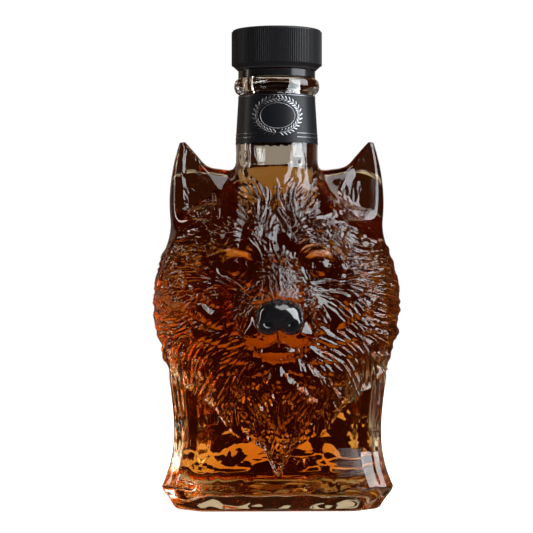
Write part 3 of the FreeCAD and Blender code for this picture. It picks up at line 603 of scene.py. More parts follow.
def growLocks():
    # the path of each lock over the skin, with its width and height
    k, c = lockPlan, coatPlan
    amount = furAmount(outerPoints)
    size = furSize(outerPoints)

    def sized(name):
        return k[name][0] + (k[name][1] - k[name][0]) * size

    share = k["cover"] * outerArea / (0.5 * sized("width") * sized("length"))
    chosen = np.nonzero((rng.random(len(outerPoints)) < share) & (amount > k["least"]))[0]
    p = outerPoints[chosen]
    count = len(chosen)
    length = sized("length")[chosen] * rng.uniform(*k["vary"], count)
    width = sized("width")[chosen] * rng.uniform(*k["vary"], count)
    height = sized("height")[chosen] * rng.uniform(*k["varyHeight"], count)
    sway = swayOf(p) + k["wild"] * rng.normal(0, 1, count)
    path = [p]
    last = k["steps"] - 1
    for step in range(last):
        normal = unit(gradient(outerField, p))
        heading = combed(p, normal, k["curl"] * sway * math.cos(math.pi * k["swing"] * step / last))
        p = project(outerField, p + heading * (length / last)[:, None], 1)
        path.append(p)
    x = np.abs(p[:, 0])
    low = np.where(x > c["side"][0], c["sideHem"][0], hemLine(x) - k["hang"])
    low = np.where(p[:, 1] > c["back"][0], c["backHem"][0] - k["hang"], low)
    kept = p[:, 2] > low         # locks that hang past the hem are left out
    return np.stack(path, 1)[kept], width[kept], height[kept]


def stampLocks(points, paths, widths, heights):
    # height of the highest lock at each point
    k = lockPlan
    key = np.floor(points / k["cell"]).astype(int)
    order = np.lexsort(key.T[::-1])
    names, starts = np.unique(key[order], axis=0, return_index=True)
    stops = np.append(starts[1:], len(order))
    table = {tuple(n): order[a:b] for n, a, b in zip(names.tolist(), starts, stops)}
    relief = np.zeros(len(points))
    for path, width, height in zip(paths, widths, heights):
        lowCell = np.floor((path.min(0) - width) / k["cell"]).astype(int)
        highCell = np.floor((path.max(0) + width) / k["cell"]).astype(int)
        cells = [tuple((lowCell + c).tolist()) for c in np.ndindex(*(highCell - lowCell + 1))]
        near = [table[cell] for cell in cells if cell in table]
        if not near:
            continue
        near = np.concatenate(near)
        along = path[1:] - path[:-1]
        rel = points[near][:, None] - path[:-1]
        t = np.clip((rel * along).sum(2) / np.maximum((along * along).sum(1), 1e-9), 0, 1)
        gap = np.linalg.norm(rel - t[..., None] * along, axis=2)
        best = gap.argmin(1)
        rows = np.arange(len(near))
        s = (best + t[rows, best]) / len(along)
        half = 0.5 * width * np.sqrt(np.clip(s / k["root"], 0, 1))
        half = half * (1 - ramp(s, *k["taper"]) ** k["taperPower"]) + 1e-6
        q = gap[rows, best] / half
        rise = height * ramp(s, *k["swell"]) * (k["lean"] + (1 - k["lean"]) * s)
        rise = rise * np.clip(1 - q ** k["sharp"], 0, 1)
        relief[near] = np.maximum(relief[near], rise)
    return relief


def buildFur(p, normal):
    s = strandPlan
    coat = furAmount(p)
    relief = coat * (furPlan["coat"] + maneRelief(p))
    paths, widths, heights = growLocks()
    print("stage: locks", len(paths))
    locks = stampLocks(p, paths, widths, heights) * (1 - earZone(p) * (1 - earTuft(p)))
    inFront = ramp(-normal[:, 1], *s["facing"]) * ramp(p[:, 2], *s["top"])
    hair = s["height"][0] + (s["height"][1] - s["height"][0]) * furSize(p)
    hair = hair * np.maximum(coat, ramp(locks, *s["onLock"]))
    fine = strandRelief(p, normal, s["fine"], (1, 0, 1))         # drawn in the plane of the front view
    coarse = strandRelief(p, normal, s["coarse"], (1, 1, 1))
    return relief + locks + hair * inFront * fine + hair * (1 - inFront) * coarse


# face and casting marks: nostrils, mouth, stippled bridge, streaked corners and wavy foot

nostrilPlan = {"side": 5.0, "z": 84.0, "half": (2.4, 1.7), "slope": 0.25, "deep": 2.6, "front": -54}
mouthPlan = {"z": 76.1, "dip": 3.4, "dipHalf": 8.5, "rise": 5.6, "riseSide": (9, 19), "wide": 0.8,
             "deep": 2.0, "back": (-30, -40), "end": (21, 17), "cleftWide": 0.7, "cleftDeep": 0.9,
             "cleftLow": (75.5, 76.5), "cleftTop": (81.5, 80.5), "cleftFront": -48}
bridgePlan = {"side": (11, 7), "low": (91.5, 94), "top": (112, 106), "front": -38, "height": 0.4,
              "dots": ((4.1, 1.7, 1.3, 0), (3.1, 1.9, 1.1, 0))}
streakPlan = {"pitch": 0.7, "swing": (1.5, 0.31, 1), "drift": (1.2, 0.08), "corner": (66, 72),
              "low": (9, 14), "top": (64, 56), "height": 0.2}
footPlan = {"across": (0.31, 2, 0.23), "up": (0.6, 1.4, 0.12, 0.1), "low": (0.4, 3), "top": (14, 8),
            "height": 0.28}


def nostrils(side, y, z):
    n = nostrilPlan
    out = side - n["side"]
    reach = np.hypot(out / n["half"][0], (z - n["z"] - n["slope"] * out) / n["half"][1])
    return -n["deep"] * np.exp(-reach ** 4) * (y < n["front"])


def mouthGroove(side, y, z):
    # two shallow arcs that rise at their ends
    m = mouthPlan
    dip = np.sin(np.clip(side / m["dipHalf"], 0, 1) * math.pi / 2)
    line = m["z"] - m["dip"] * dip + m["rise"] * ramp(side, *m["riseSide"])
    groove = m["deep"] * np.exp(-((z - line) / m["wide"]) ** 2)
    return groove * ramp(y, *m["back"]) * ramp(side, *m["end"])


def lipCleft(side, y, z):
    m = mouthPlan
    cleft = m["cleftDeep"] * np.exp(-(side / m["cleftWide"]) ** 2)
    return cleft * ramp(z, *m["cleftLow"]) * ramp(z, *m["cleftTop"]) * (y < m["cleftFront"])


def cornerStreaks(side, y, z):
    s = streakPlan
    turn = side - np.abs(y)
    swing, swingPitch, shift = s["swing"]
    wave = turn * s["pitch"] + swing * np.sin(turn * swingPitch + shift)
    wave = wave + s["drift"][0] * np.sin(z * s["drift"][1])
    streaks = np.sin(wave) * ramp(side + np.abs(y), *s["corner"])
    return s["height"] * (streaks * (ramp(z, *s["low"]) * ramp(z, *s["top"])))


def footWaves(x, y, z):
    f = footPlan
    a, b, c = f["across"]
    d, e, g, h = f["up"]
    waves = np.sin(x * a + b * np.sin(y * c)) * np.sin(z * d + e * np.sin(x * g + y * h))
    return f["height"] * waves * ramp(z, *f["top"]) * ramp(z, *f["low"])


def faceRelief(p):
    x, y, z = p[:, 0], p[:, 1], p[:, 2]
    side = np.abs(x)
    b = bridgePlan
    relief = nostrils(side, y, z) - mouthGroove(side, y, z) - lipCleft(side, y, z)
    relief += cornerStreaks(side, y, z) + footWaves(x, y, z)
    bridge = ramp(side, *b["side"]) * ramp(z, *b["low"]) * ramp(z, *b["top"]) * (y < b["front"])
    return relief + b["height"] * bridge * crossWaves(x, z, b["dots"])


chipPlan = {"seed": 12, "count": 60, "low": 6, "high": 68, "half": 46, "stretch": (0.7, 1), "tilt": 0.4,
            "bulge": 0.02, "crest": 20, "most": 1.6, "outShare": 0.6, "facing": (0.6, 0.85),
            "from": (7, 12), "fade": (3, 2), "backTilt": 0.5, "above": 4}


def chippedBack(p, normals):
    # irregular flat chips on the back of the lower body, which show through the front window
    c = chipPlan
    draw = np.random.default_rng(c["seed"])
    seeds = draw.uniform((-c["half"], c["low"]), (c["half"], c["high"]), (c["count"], 2))
    tilt = draw.normal(0, c["tilt"], (c["count"], 2))
    flat = p[:, [0, 2]]
    gap = np.linalg.norm((flat[:, None] - seeds) * c["stretch"], axis=2)
    nearest = gap.argmin(1)
    rise = ((flat - seeds[nearest]) * tilt[nearest]).sum(1) + c["bulge"] * (c["crest"] - gap.min(1) ** 2)
    within = ramp(normals[:, 1], *c["facing"]) * ramp(p[:, 2], *c["from"])
    within = within * (1 - ramp(p[:, 2], c["high"] - c["fade"][0], c["high"] + c["fade"][1]))
    return within * np.clip(rise, -c["most"], c["outShare"] * c["most"])


relief = buildFur(outerPoints, outerNormals) + faceRelief(outerPoints)
atBack = outerNormals[:, 1] > chipPlan["backTilt"]
atBack &= outerPoints[:, 2] < chipPlan["high"] + chipPlan["above"]
relief[atBack] += chippedBack(outerPoints[atBack], outerNormals[atBack])
outerEdges, _ = neighbours(outerFaces)
relief = relaxed(relief[:, None], outerEdges, furPlan["relax"])[:, 0]
relief[outerRim] = 0
shaped = outerPoints + outerNormals * relief[:, None]
print("stage: fur relief, highest", round(float(relief.max()), 2), "mm")


# finish: the turned neck from the join up over the bead, ring, thread and lip and down the bore

def beadRows(radius, low, high, bulge, count):
    return [(radius + bulge * math.sin(a), low + (high - low) * (1 - math.cos(a)) / 2)
            for a in np.linspace(0, math.pi, count)]


def neckProfile():
    n, t = neckPlan, threadPlan
    lip = linerLow[2] - n["gap"]
    beadLow, beadTop = labelHigh[2] + n["beadGaps"][0], bandLow[2] - n["beadGaps"][1]
    ringTall, ringOut = n["ring"]
    ringLow = bandHigh[2] - n["ringLap"] + n["gap"]
    threadLow = ringLow + ringTall + t["rise"]
    threadTop = threadLow + t["pitch"] * t["turns"]
    joinTop = n["join"] + n["joinRise"]
    taper, tall = n["top"] - n["radius"], beadLow - labelLow[2]
    stepTop = beadTop + n["step"]
    stepOut, stepIn = n["stepEdges"]
    lipOut, lipIn = n["lipEdges"]
    rows = [(n["radius"], joinTop), (n["radius"], labelLow[2])]
    rows += [(n["radius"] + taper * k / 6, labelLow[2] + tall * k / 6) for k in range(1, 6)]
    rows += beadRows(n["top"], beadLow, beadTop, n["bead"], 17)
    rows += [(n["top"] - stepOut, stepTop), (n["finish"] + stepIn, stepTop)]
    rows += [(n["finish"], beadTop + stepIn)]
    rows += beadRows(n["finish"], ringLow, ringLow + ringTall, ringOut, 9)
    threadRows = np.arange(threadLow - t["reach"][0], threadTop + t["reach"][1], t["rows"])
    rows += [(n["finish"], z) for z in threadRows]
    rows += [(n["finish"] - lipOut + lipOut * math.cos(a), lip - lipOut + lipOut * math.sin(a))
             for a in np.linspace(0, math.pi / 2, 7)]
    rows += [(n["mouth"] + lipIn - lipIn * math.sin(a), lip - lipIn + lipIn * math.cos(a))
             for a in np.linspace(0, math.pi / 2, 6)]
    rows += [(n["mouth"], beadTop), (n["mouth"] + n["mouthStep"][0], beadTop - n["mouthStep"][1])]
    rows += [(n["bore"], labelHigh[2] - n["boreFrom"][0])]
    rows += [(n["bore"], z) for z in np.linspace(labelHigh[2] - n["boreFrom"][1], joinTop, 7)]
    return rows, threadLow


def threadRelief(angle, z, threadLow):
    # height of the helical ridge over the finish
    t = threadPlan
    out = np.zeros_like(angle)
    for turn in range(math.ceil(t["turns"])):
        run = angle / (2 * math.pi) + turn
        centre = threadLow + t["pitch"] * run
        ridge = np.sqrt(np.clip(1 - ((z - centre) / t["half"]) ** 2, 0, 1)) * t["depth"]
        ends = np.clip(run / t["runIn"], 0, 1) * np.clip((t["turns"] - run) / t["runIn"], 0, 1)
        out = np.maximum(out, ridge * ends)
    return out


def angleOf(p):
    return np.arctan2(p[:, 1], p[:, 0])


def ringOrder(points, rim):
    # a rim's points in turn round the neck
    return rim[np.argsort(angleOf(points[rim]))]


def ringPoints(reach, angles, z):
    return np.stack([reach * np.cos(angles), reach * np.sin(angles), np.full(len(angles), z)], 1)


def zipped(first, firstAngles, second, secondAngles):
    # triangles between two rings with their own numbers of points
    i = j = 0
    faces = []
    n, m = len(first), len(second)
    while i < n or j < m:
        a = firstAngles[i] if i < n else math.inf
        b = secondAngles[j] if j < m else math.inf
        if a <= b:
            faces.append((first[i % n], first[(i + 1) % n], second[j % m]))
            i += 1
        else:
            faces.append((first[i % n], second[(j + 1) % m], second[j % m]))
            j += 1
    return faces


def buildGlass():
    n = neckPlan
    for rim, cloud, radius in ((outerRim, shaped, n["radius"]), (innerRim, innerPoints, n["bore"])):
        cloud[rim] = ringPoints(radius, angleOf(cloud[rim]), n["join"])
    rows, threadLow = neckProfile()
    count = n["columns"]
    angles = -math.pi + 2 * math.pi * (np.arange(count) + 0.5) / count
    points = [shaped, innerPoints]
    for r, z in rows:
        reach = np.full(count, r)
        if r == n["finish"]:
            reach = reach + threadRelief(np.mod(angles, 2 * math.pi), z, threadLow)
        points.append(ringPoints(reach, angles, z))
    base = len(shaped) + len(innerPoints)
    faces = outerFaces + (innerQuads + len(shaped)).tolist()
    here = np.arange(count)
    after = (here + 1) % count
    for row in range(len(rows) - 1):
        a = base + row * count
        b = a + count
        faces += np.stack([a + here, a + after, b + after, b + here], 1).tolist()
    outer = ringOrder(shaped, outerRim)
    inner = ringOrder(innerPoints, innerRim)
    innerIds = (inner + len(shaped)).tolist()
    last = base + (len(rows) - 1) * count
    faces += zipped(outer.tolist(), angleOf(shaped[outer]), (base + here).tolist(), angles)
    inward = zipped(innerIds, angleOf(innerPoints[inner]), (last + here).tolist(), angles)
    faces += [face[::-1] for face in inward]
    return np.concatenate(points), faces


def meshObject(name, points, faces, kinds=None):
    mesh = bpy.data.meshes.new(name)
    mesh.from_pydata((np.asarray(points) * mm).tolist(), [], faces)
    if kinds is not None:
        for _ in range(kinds.max() + 1):
            mesh.materials.append(None)
        mesh.polygons.foreach_set("material_index", kinds)
    mesh.validate()
    mesh.polygons.foreach_set("use_smooth", [True] * len(mesh.polygons))
    mesh.update()
    obj = bpy.data.objects.new(name, mesh)
    bpy.context.scene.collection.objects.link(obj)
    return obj


def plainMesh(obj, modifier):
    # the evaluated mesh in place of the modifier
    evaluated = obj.evaluated_get(bpy.context.evaluated_depsgraph_get())
    plain = bpy.data.meshes.new_from_object(evaluated)
    obj.modifiers.remove(modifier)
    old = obj.data
    obj.data = plain
    bpy.data.meshes.remove(old)


def thinned(obj, fine, most):
    # fewer triangles, taken only from the finely divided coat
    total = sum(len(p.vertices) - 2 for p in obj.data.polygons)
    group = obj.vertex_groups.new(name="fine")
    group.add(fine.tolist(), 1.0, "REPLACE")
    decimate = obj.modifiers.new("thin", "DECIMATE")
    decimate.ratio = min(1, most / total)
    decimate.vertex_group = group.name
    plainMesh(obj, decimate)
    obj.vertex_groups.clear()
    return obj


glassPoints, glassFaces = buildGlass()
wetFaces = np.zeros(len(glassFaces), np.int32)      # 1 on the inner wall below the liquor's level
wet = innerPoints[innerQuads][:, :, 2].max(1) < liquorTop
wetFaces[len(outerFaces):len(outerFaces) + len(innerQuads)] = wet
glass = meshObject("wolfBottle", glassPoints, glassFaces, kinds=wetFaces)
print("stage: glass triangles", sum(len(f) - 2 for f in glassFaces))
glass = thinned(glass, np.nonzero(isFront(outerPoints))[0], skinPlan["most"])
print("stage: glass", len(glass.data.polygons), "faces")


# liquor: fills the hollow and reaches a hair into the glass, so that no air lies between them

def liquorField(p):
    w = wallPlan
    return softMax(cavityField(p) - w["overlap"], p[..., 2] - liquorTop, w["levelSoft"])


def everywhere(place):
    return np.ones(len(place), bool)


liquorPoints, liquorQuads = skinOf(liquorField, skinPlan["innerStep"], everywhere)
liquorPoints, _ = smoothSkin(liquorField, liquorPoints, liquorQuads)
liquor = meshObject("amberLiquor", liquorPoints, liquorQuads.tolist())
print("stage: liquor", len(liquor.data.polygons), "faces")


# nose coat: a thin black coat over the moulded nose, painted shade in place of the dark look of the thick
# glass nose

nosePlan = {"edge": 0.5, "back": -51, "above": 0.12, "under": 0.25}


def buildNose():
    n = nosePlan
    # painted shade: the black coat stands in for the darkness the thick glass nose takes from the dim
    # studio
    painted = (lobeField(outerPoints, ("nose", "wing")) < n["edge"]) & (outerPoints[:, 1] < n["back"])
    quads = np.array([f for f in outerFaces if len(f) == 4 and painted[f].all()])
    used, flat = np.unique(quads, return_inverse=True)
    quads = flat.reshape(-1, 4)
    edges, uses = neighbours(quads)
    top = shaped[used] + n["above"] * outerNormals[used]
    under = shaped[used] - n["under"] * outerNormals[used]
    pairs = np.stack([quads, np.roll(quads, -1, 1)], 2).reshape(-1, 2)
    rim = {tuple(e) for e in edges[uses == 1].tolist()}
    count = len(used)
    ends = [(a, b) for a, b in pairs.tolist() if (min(a, b), max(a, b)) in rim]
    wall = [(b, a, a + count, b + count) for a, b in ends]
    return np.concatenate([top, under]), quads.tolist() + (quads[:, ::-1] + count).tolist() + wall


nose = meshObject("noseShadeCoat", *buildNose())
print("stage: nose shade coat", len(nose.data.polygons), "faces")


# label ornament: silver lines and a leaf wreath round a beaded oval, laid on the black sleeve

labelPlan = {"centre": 176, "topLine": 185.4, "lowLines": (168.4, 166.6), "gap": 9.2, "oval": (8.0, 5.7),
             "wreath": (10.4, 7.7), "open": (0.08, 0.1), "line": 0.19, "spacing": 1.6,
             "leaf": (1.15, 0.36, 0.2), "splay": 0.75, "bead": 0.26, "overlap": 0.4}


def onLabel(u, z):
    # u is measured round the sleeve from the front
    spots = np.array([v.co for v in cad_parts["neck_label"].data.vertices]) / mm
    reach = np.hypot(spots[:, 0], spots[:, 1])
    rows = np.unique(spots[:, 2].round(1))
    radius = np.interp(z, rows, [reach[np.abs(spots[:, 2] - row) < 0.06].max() for row in rows])
    angle = u / radius - math.pi / 2
    return np.stack([radius * np.cos(angle), radius * np.sin(angle), z + 0 * angle], -1)


def labelPaths():
    # points, closed, carries leaves, carries beads
    q = labelPlan
    half = math.pi * (labelHigh[0] - q["overlap"])
    whole = np.linspace(-half, half, 121)[:-1]
    broken = np.linspace(q["gap"], 2 * half - q["gap"], 110)
    turn = np.linspace(0, 2 * math.pi, 97)[:-1]
    branch = np.linspace(q["open"][0], math.pi - q["open"][1], 60)

    def oval(size, angles):
        return onLabel(size[0] * np.sin(angles), q["centre"] - size[1] * np.cos(angles))

    paths = [(onLabel(whole, np.full(len(whole), q["topLine"])), True, False, False)]
    paths += [(onLabel(broken, np.full(len(broken), z)), False, False, False) for z in q["lowLines"]]
    paths.append((oval(q["oval"], turn), True, False, True))
    paths += [(oval(q["wreath"], side * branch), False, True, False) for side in (-1, 1)]
    return paths


def ornamentTree(material):
    q = labelPlan
    tree = bpy.data.node_groups.new("labelOrnament", "GeometryNodeTree")
    sockets = tree.interface
    sockets.new_socket("Paths", in_out="INPUT", socket_type="NodeSocketGeometry")
    values = {"Line Radius": q["line"] * mm, "Leaf Spacing": q["spacing"] * mm,
              "Leaf Splay": q["splay"], "Bead Radius": q["bead"] * mm}
    for name in values:
        sockets.new_socket(name, in_out="INPUT", socket_type="NodeSocketFloat")
    sockets.new_socket("Ornament", in_out="OUTPUT", socket_type="NodeSocketGeometry")
    given = tree.nodes.new("NodeGroupInput")
    ready = tree.nodes.new("NodeGroupOutput")

    def link(source, output, target, entry):
        wire(tree, source, output, target, entry)

    def flagged(name):
        curve = tree.nodes.new("GeometryNodeMeshToCurve")
        flag = addNode(tree, "GeometryNodeInputNamedAttribute", data_type="BOOLEAN", Name=name)
        link(given, "Paths", curve, "Mesh")
        link(flag, "Attribute", curve, "Selection")
        spaced = addNode(tree, "GeometryNodeResampleCurve", mode="LENGTH")
        link(curve, "Curve", spaced, "Curve")
        link(given, "Leaf Spacing", spaced, "Length")
        return spaced

    lines = tree.nodes.new("GeometryNodeMeshToCurve")
    ring = addNode(tree, "GeometryNodeCurvePrimitiveCircle", Resolution=8)
    tube = addNode(tree, "GeometryNodeCurveToMesh")
    tube.inputs["Fill Caps"].default_value = True
    link(given, "Paths", lines, "Mesh")
    link(given, "Line Radius", ring, "Radius")
    link(lines, "Curve", tube, "Curve")
    link(ring, "Curve", tube, "Profile Curve")
    join = tree.nodes.new("GeometryNodeJoinGeometry")
    link(tube, "Mesh", join, "Geometry")

    place = tree.nodes.new("GeometryNodeInputPosition")
    outward = addNode(tree, "ShaderNodeVectorMath", operation="MULTIPLY")
    outward.inputs[1].default_value = (1, 1, 0)
    link(place, "Position", outward, 0)
    stand = addNode(tree, "FunctionNodeAlignRotationToVector", axis="Z")
    link(outward, "Vector", stand, "Vector")
    tangent = tree.nodes.new("GeometryNodeInputTangent")
    along = addNode(tree, "FunctionNodeAlignRotationToVector", axis="X", pivot_axis="Z")
    link(stand, "Rotation", along, "Rotation")
    link(tangent, "Tangent", along, "Vector")
    leaf = addNode(tree, "GeometryNodeMeshIcoSphere", Radius=mm, Subdivisions=3)
    leafShape = tree.nodes.new("GeometryNodeTransform")
    leafShape.inputs["Scale"].default_value = q["leaf"]
    leafShape.inputs["Translation"].default_value = (q["leaf"][0] * mm, 0, 0)
    link(leaf, "Mesh", leafShape, "Geometry")
    stems = flagged("leafy")
    for side in (-1, 1):
        spread = addNode(tree, "ShaderNodeMath", operation="MULTIPLY")
        spread.inputs[1].default_value = side
        link(given, "Leaf Splay", spread, 0)
        angle = tree.nodes.new("ShaderNodeCombineXYZ")
        link(spread, "Value", angle, "Z")
        turned = addNode(tree, "FunctionNodeRotateRotation", rotation_space="LOCAL")
        link(along, "Rotation", turned, "Rotation")
        link(angle, "Vector", turned, "Rotate By")
        leaves = tree.nodes.new("GeometryNodeInstanceOnPoints")
        link(stems, "Curve", leaves, "Points")
        link(leafShape, "Geometry", leaves, "Instance")
        link(turned, "Rotation", leaves, "Rotation")
        link(leaves, "Instances", join, "Geometry")
    bead = addNode(tree, "GeometryNodeMeshIcoSphere", Subdivisions=2)
    link(given, "Bead Radius", bead, "Radius")
    beads = tree.nodes.new("GeometryNodeInstanceOnPoints")
    link(flagged("beaded"), "Curve", beads, "Points")
    link(bead, "Mesh", beads, "Instance")
    link(beads, "Instances", join, "Geometry")
    real = tree.nodes.new("GeometryNodeRealizeInstances")
    foil = addNode(tree, "GeometryNodeSetMaterial", Material=material)
    link(join, "Geometry", real, "Geometry")
    link(real, "Geometry", foil, "Geometry")
    link(foil, "Geometry", ready, "Ornament")
    return tree, values


def buildOrnament(material):
    points, edges, leafy, beaded = [], [], [], []
    for spots, closed, hasLeaves, hasBeads in labelPaths():
        first, count = len(points), len(spots)
        points += (spots * mm).tolist()
        run = [(first + k, first + (k + 1) % count) for k in range(count if closed else count - 1)]
        edges += run
        leafy += [hasLeaves] * len(run)
        beaded += [hasBeads] * len(run)
    mesh = bpy.data.meshes.new("labelOrnament")
    mesh.from_pydata(points, edges, [])
    mesh.attributes.new("leafy", "BOOLEAN", "EDGE").data.foreach_set("value", leafy)
    mesh.attributes.new("beaded", "BOOLEAN", "EDGE").data.foreach_set("value", beaded)
    obj = bpy.data.objects.new("labelOrnament", mesh)
    bpy.context.scene.collection.objects.link(obj)
    tree, values = ornamentTree(material)
    modifier = obj.modifiers.new("ornament", "NODES")
    modifier.node_group = tree
    for item in tree.interface.items_tree:
        if item.in_out == "INPUT" and item.name in values:
            modifier[item.identifier] = values[item.name]
    plainMesh(obj, modifier)
    return obj


# materials

glassPlan = {"colour": (0.96, 0.975, 0.965), "ior": 1.5, "wobble": (60, 0.06, 0.0006)}
liquorPlan = {"ior": 1.36, "tint": (0.911, 0.64, 0.11), "density": 85.0}
# colour, least and most roughness, bump (scale, strength, distance), coat, shine, metallic
finishPlan = {
    # painted shade: the nose coat's black stands in for the shade seen in the thick glass nose
    "noseShadeBlack": ((0.006, 0.006, 0.007), (0.04, 0.14), (900, 0.05, 0.0002), 0.6, 0.5, 0.0),
    "silverFoil": ((0.36, 0.37, 0.39), (0.25, 0.4), (1500, 0.1, 0.0001), 0.0, 0.5, 1.0),
    "capBlack": ((0.008, 0.008, 0.009), (0.34, 0.5), (1600, 0.12, 0.0001), 0.0, 0.22, 0.0),
    "sleeveBlack": ((0.015, 0.015, 0.016), (0.35, 0.5), (900, 0.1, 0.0001), 0.0, 0.5, 0.0),
    "bandBlack": ((0.008, 0.008, 0.009), (0.12, 0.24), (700, 0.05, 0.0001), 0.0, 0.3, 0.0),
    "linerWhite": ((0.75, 0.74, 0.7), (0.6, 0.8), (1200, 0.3, 0.0002), 0.0, 0.5, 0.0),
    "labelBlack": ((0.006, 0.007, 0.009), (0.3, 0.45), (1500, 0.15, 0.0001), 0.0, 0.2, 0.0),
}
cadFinishes = {"cap_shell": "capBlack", "cap_sleeve": "sleeveBlack", "tamper_band": "bandBlack",
               "cap_liner": "linerWhite", "neck_label": "labelBlack"}


def newMaterial(name):
    material = bpy.data.materials.new(name)
    material.use_nodes = True
    tree = material.node_tree
    return material, tree, tree.nodes["Principled BSDF"]


def addNode(tree, kind, **values):
    node = tree.nodes.new(kind)
    for name, value in values.items():
        if name in node.inputs:
            node.inputs[name].default_value = value
        else:
            setattr(node, name, value)
    return node


def setInputs(node, values):
    for name, value in values.items():
        node.inputs[name].default_value = value


def wire(tree, source, output, target, entry):
    tree.links.new(source.outputs[output], target.inputs[entry])


def noiseBump(tree, shader, scale, strength, distance):
    place = addNode(tree, "ShaderNodeTexCoord")
    noise = addNode(tree, "ShaderNodeTexNoise", Scale=scale, Detail=3.0)
    bump = addNode(tree, "ShaderNodeBump", Strength=strength, Distance=distance)
    wire(tree, place, "Object", noise, "Vector")
    wire(tree, noise, "Fac", bump, "Height")
    wire(tree, bump, "Normal", shader, "Normal")
    return noise


def seeThrough(name, colour, ior, shine=1.0):
    # smooth and clear, with no reflection where the shine is 0
    material, tree, shader = newMaterial(name)
    setInputs(shader, {"Base Color": (*colour, 1), "Roughness": 0.0, "IOR": ior, "Transmission Weight": 1.0,
                       "Specular Tint": (shine, shine, shine, 1)})
    return material, tree, shader


def glassMaterial(name, shine=1.0):
    return seeThrough(name, glassPlan["colour"], glassPlan["ior"], shine)


def liquorMaterial():
    q = liquorPlan
    material, tree, _ = seeThrough("amberSpirit", (1, 1, 1), q["ior"], 0.0)
    absorb = addNode(tree, "ShaderNodeVolumeAbsorption", Color=(*q["tint"], 1), Density=q["density"])
    wire(tree, absorb, "Volume", tree.nodes["Material Output"], "Volume")
    return material


def solidMaterial(name):
    colour, (low, high), bump, coat, shine, metallic = finishPlan[name]
    material, tree, shader = newMaterial(name)
    setInputs(shader, {"Base Color": (*colour, 1), "Specular IOR Level": shine, "Metallic": metallic,
                       "Coat Weight": coat, "Coat Roughness": 0.05})
    noise = noiseBump(tree, shader, *bump)
    spread = addNode(tree, "ShaderNodeMapRange")
    setInputs(spread, {"To Min": low, "To Max": high})
    wire(tree, noise, "Fac", spread, "Value")
    wire(tree, spread, "Result", shader, "Roughness")
    return material


def dress(obj, *materials):
    slots = obj.data.materials
    for i, material in enumerate(materials):
        if i < len(slots):
            slots[i] = material
        else:
            slots.append(material)


clearGlass, clearTree, clearShader = glassMaterial("clearGlass")
noiseBump(clearTree, clearShader, *glassPlan["wobble"])
dress(glass, clearGlass, glassMaterial("wetGlass", 0.0)[0])      # the liquor hides the wet wall's shine
dress(liquor, liquorMaterial())
# the nose coat's black is painted shade
dress(nose, solidMaterial("noseShadeBlack"))
for node, finish in cadFinishes.items():
    dress(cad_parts[node], solidMaterial(finish))

for piece, node, slot in ((glass, "glass_body", "clear_glass"), (liquor, "liquor", "liquor")):
    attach(piece, "bottle")
    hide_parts(node)
ornament = buildOrnament(solidMaterial("silverFoil"))
for piece, slot in ((nose, "band_plastic"), (ornament, "label_paper")):
    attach(piece, "bottle")
print("stage: ornament", len(ornament.data.polygons), "faces")
print("stage: materials and bodies")


# floor, light and camera

stagePlan = {"floor": 0.7, "floorColour": (0.86, 0.86, 0.86, 1), "floorRough": 0.7, "floorGlow": 0.85,
             "distance": 0.8, "cameraX": -0.016, "cameraZ": 0.115, "aim": (-0.0047, 0, 0.1082),
             "frameWidth": 0.2445, "sensor": 36.0, "dim": (0.028, 0.007, 0.0025),
             "bounces": 32, "glossyBounces": 16}
# place, aim, size, power, colour
lightPlan = {
    "rightSoftbox": ((0.75, -0.3, 0.52), (0, 0, 0.11), (0.8, 0.9), 18, (0.92, 0.96, 1.0)),
    "tableGlow": ((0.0, 0.1, 0.004), (0.0, 0.1, 1), (0.16, 0.05), 0.027, (1.0, 0.82, 0.52)),
    "neckPanel": ((0.0, 0.032, 0.16), (0, 0, 0.16), (0.03, 0.05), 0.0014, (1.0, 0.86, 0.66)),
    "backPanel": ((0.1, 0.7, 0.455), (0, 0, 0.15), (0.6, 0.43), 0.42, (1.0, 0.8, 0.5)),
    "leftGlow": ((-0.45, 0.5, 0.15), (0, 0, 0.1), (0.35, 0.4), 0.12, (1.0, 0.8, 0.6)),
    "leftStrip": ((-0.65, 0.1, 0.3), (0, 0, 0.11), (0.06, 0.6), 0.8, (1.0, 0.95, 0.88)),
    "topSoft": ((0.2, -0.3, 1.0), (0, 0, 0.1), (0.7, 0.7), 6, (1, 1, 1)),
}


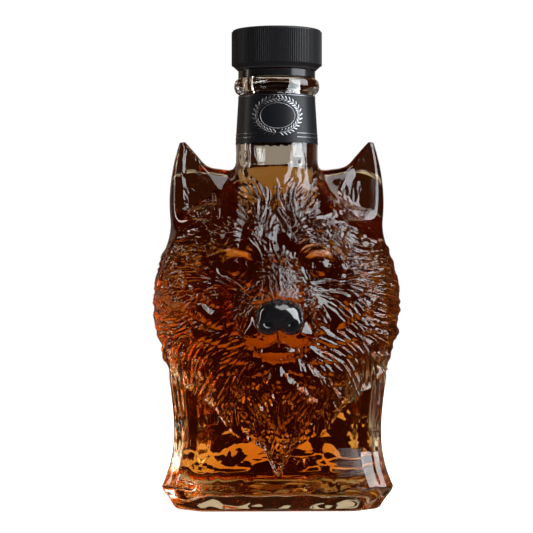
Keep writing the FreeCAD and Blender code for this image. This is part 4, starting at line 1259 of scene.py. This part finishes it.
def buildFloor():
    half = stagePlan["floor"] / mm
    corners = [(-half, -half, 0), (half, -half, 0), (half, half, 0), (-half, half, 0)]
    floor = meshObject("floor", corners, [(0, 1, 2, 3)])
    material, _, shader = newMaterial("paleFloor")
    setInputs(shader, {"Base Color": stagePlan["floorColour"], "Roughness": stagePlan["floorRough"],
                       "Emission Color": (1, 1, 1, 1), "Emission Strength": stagePlan["floorGlow"]})
    dress(floor, material)
    floor.visible_transmission = False       # the glass shows the dim studio, not the pale floor
    floor.visible_glossy = False


def softBox(name, place, aim, size, power, colour):
    light = bpy.data.lights.new(name, "AREA")
    light.shape = "RECTANGLE"
    light.size, light.size_y = size
    light.energy = power
    light.color = colour
    obj = bpy.data.objects.new(name, light)
    bpy.context.scene.collection.objects.link(obj)
    obj.location = place
    obj.rotation_euler = aimed(np.array(aim) - np.array(place))
    obj.visible_camera = False


def aimed(direction):
    return Vector(direction).to_track_quat("-Z", "Y").to_euler()


def buildWorld():
    world = bpy.data.worlds.new("studio")
    bpy.context.scene.world = world
    world.use_nodes = True
    tree = world.node_tree
    tree.nodes.clear()
    out = tree.nodes.new("ShaderNodeOutputWorld")
    mix = tree.nodes.new("ShaderNodeMixShader")
    path = tree.nodes.new("ShaderNodeLightPath")
    dim = addNode(tree, "ShaderNodeBackground", Color=(*stagePlan["dim"], 1), Strength=1.0)
    pale = addNode(tree, "ShaderNodeBackground", Color=(1, 1, 1, 1), Strength=1.0)
    wire(tree, path, "Is Camera Ray", mix, 0)
    wire(tree, dim, 0, mix, 1)
    wire(tree, pale, 0, mix, 2)
    wire(tree, mix, 0, out, "Surface")


def buildCamera():
    s = stagePlan
    data = bpy.data.cameras.new("photoView")
    data.sensor_width = s["sensor"]
    data.lens = s["sensor"] * s["distance"] / s["frameWidth"]
    camera = bpy.data.objects.new("photoView", data)
    bpy.context.scene.collection.objects.link(camera)
    camera.location = (s["cameraX"], -s["distance"], s["cameraZ"])
    camera.rotation_euler = aimed(np.array(s["aim"]) - np.array(camera.location))
    bpy.context.scene.camera = camera


buildFloor()
buildWorld()
buildCamera()
for name, values in lightPlan.items():
    softBox(name, *values)
scene = bpy.context.scene
scene.view_settings.view_transform = "Standard"
scene.cycles.max_bounces = stagePlan["bounces"]
scene.cycles.transmission_bounces = stagePlan["bounces"]
scene.cycles.glossy_bounces = stagePlan["glossyBounces"]

print("stage: ready")
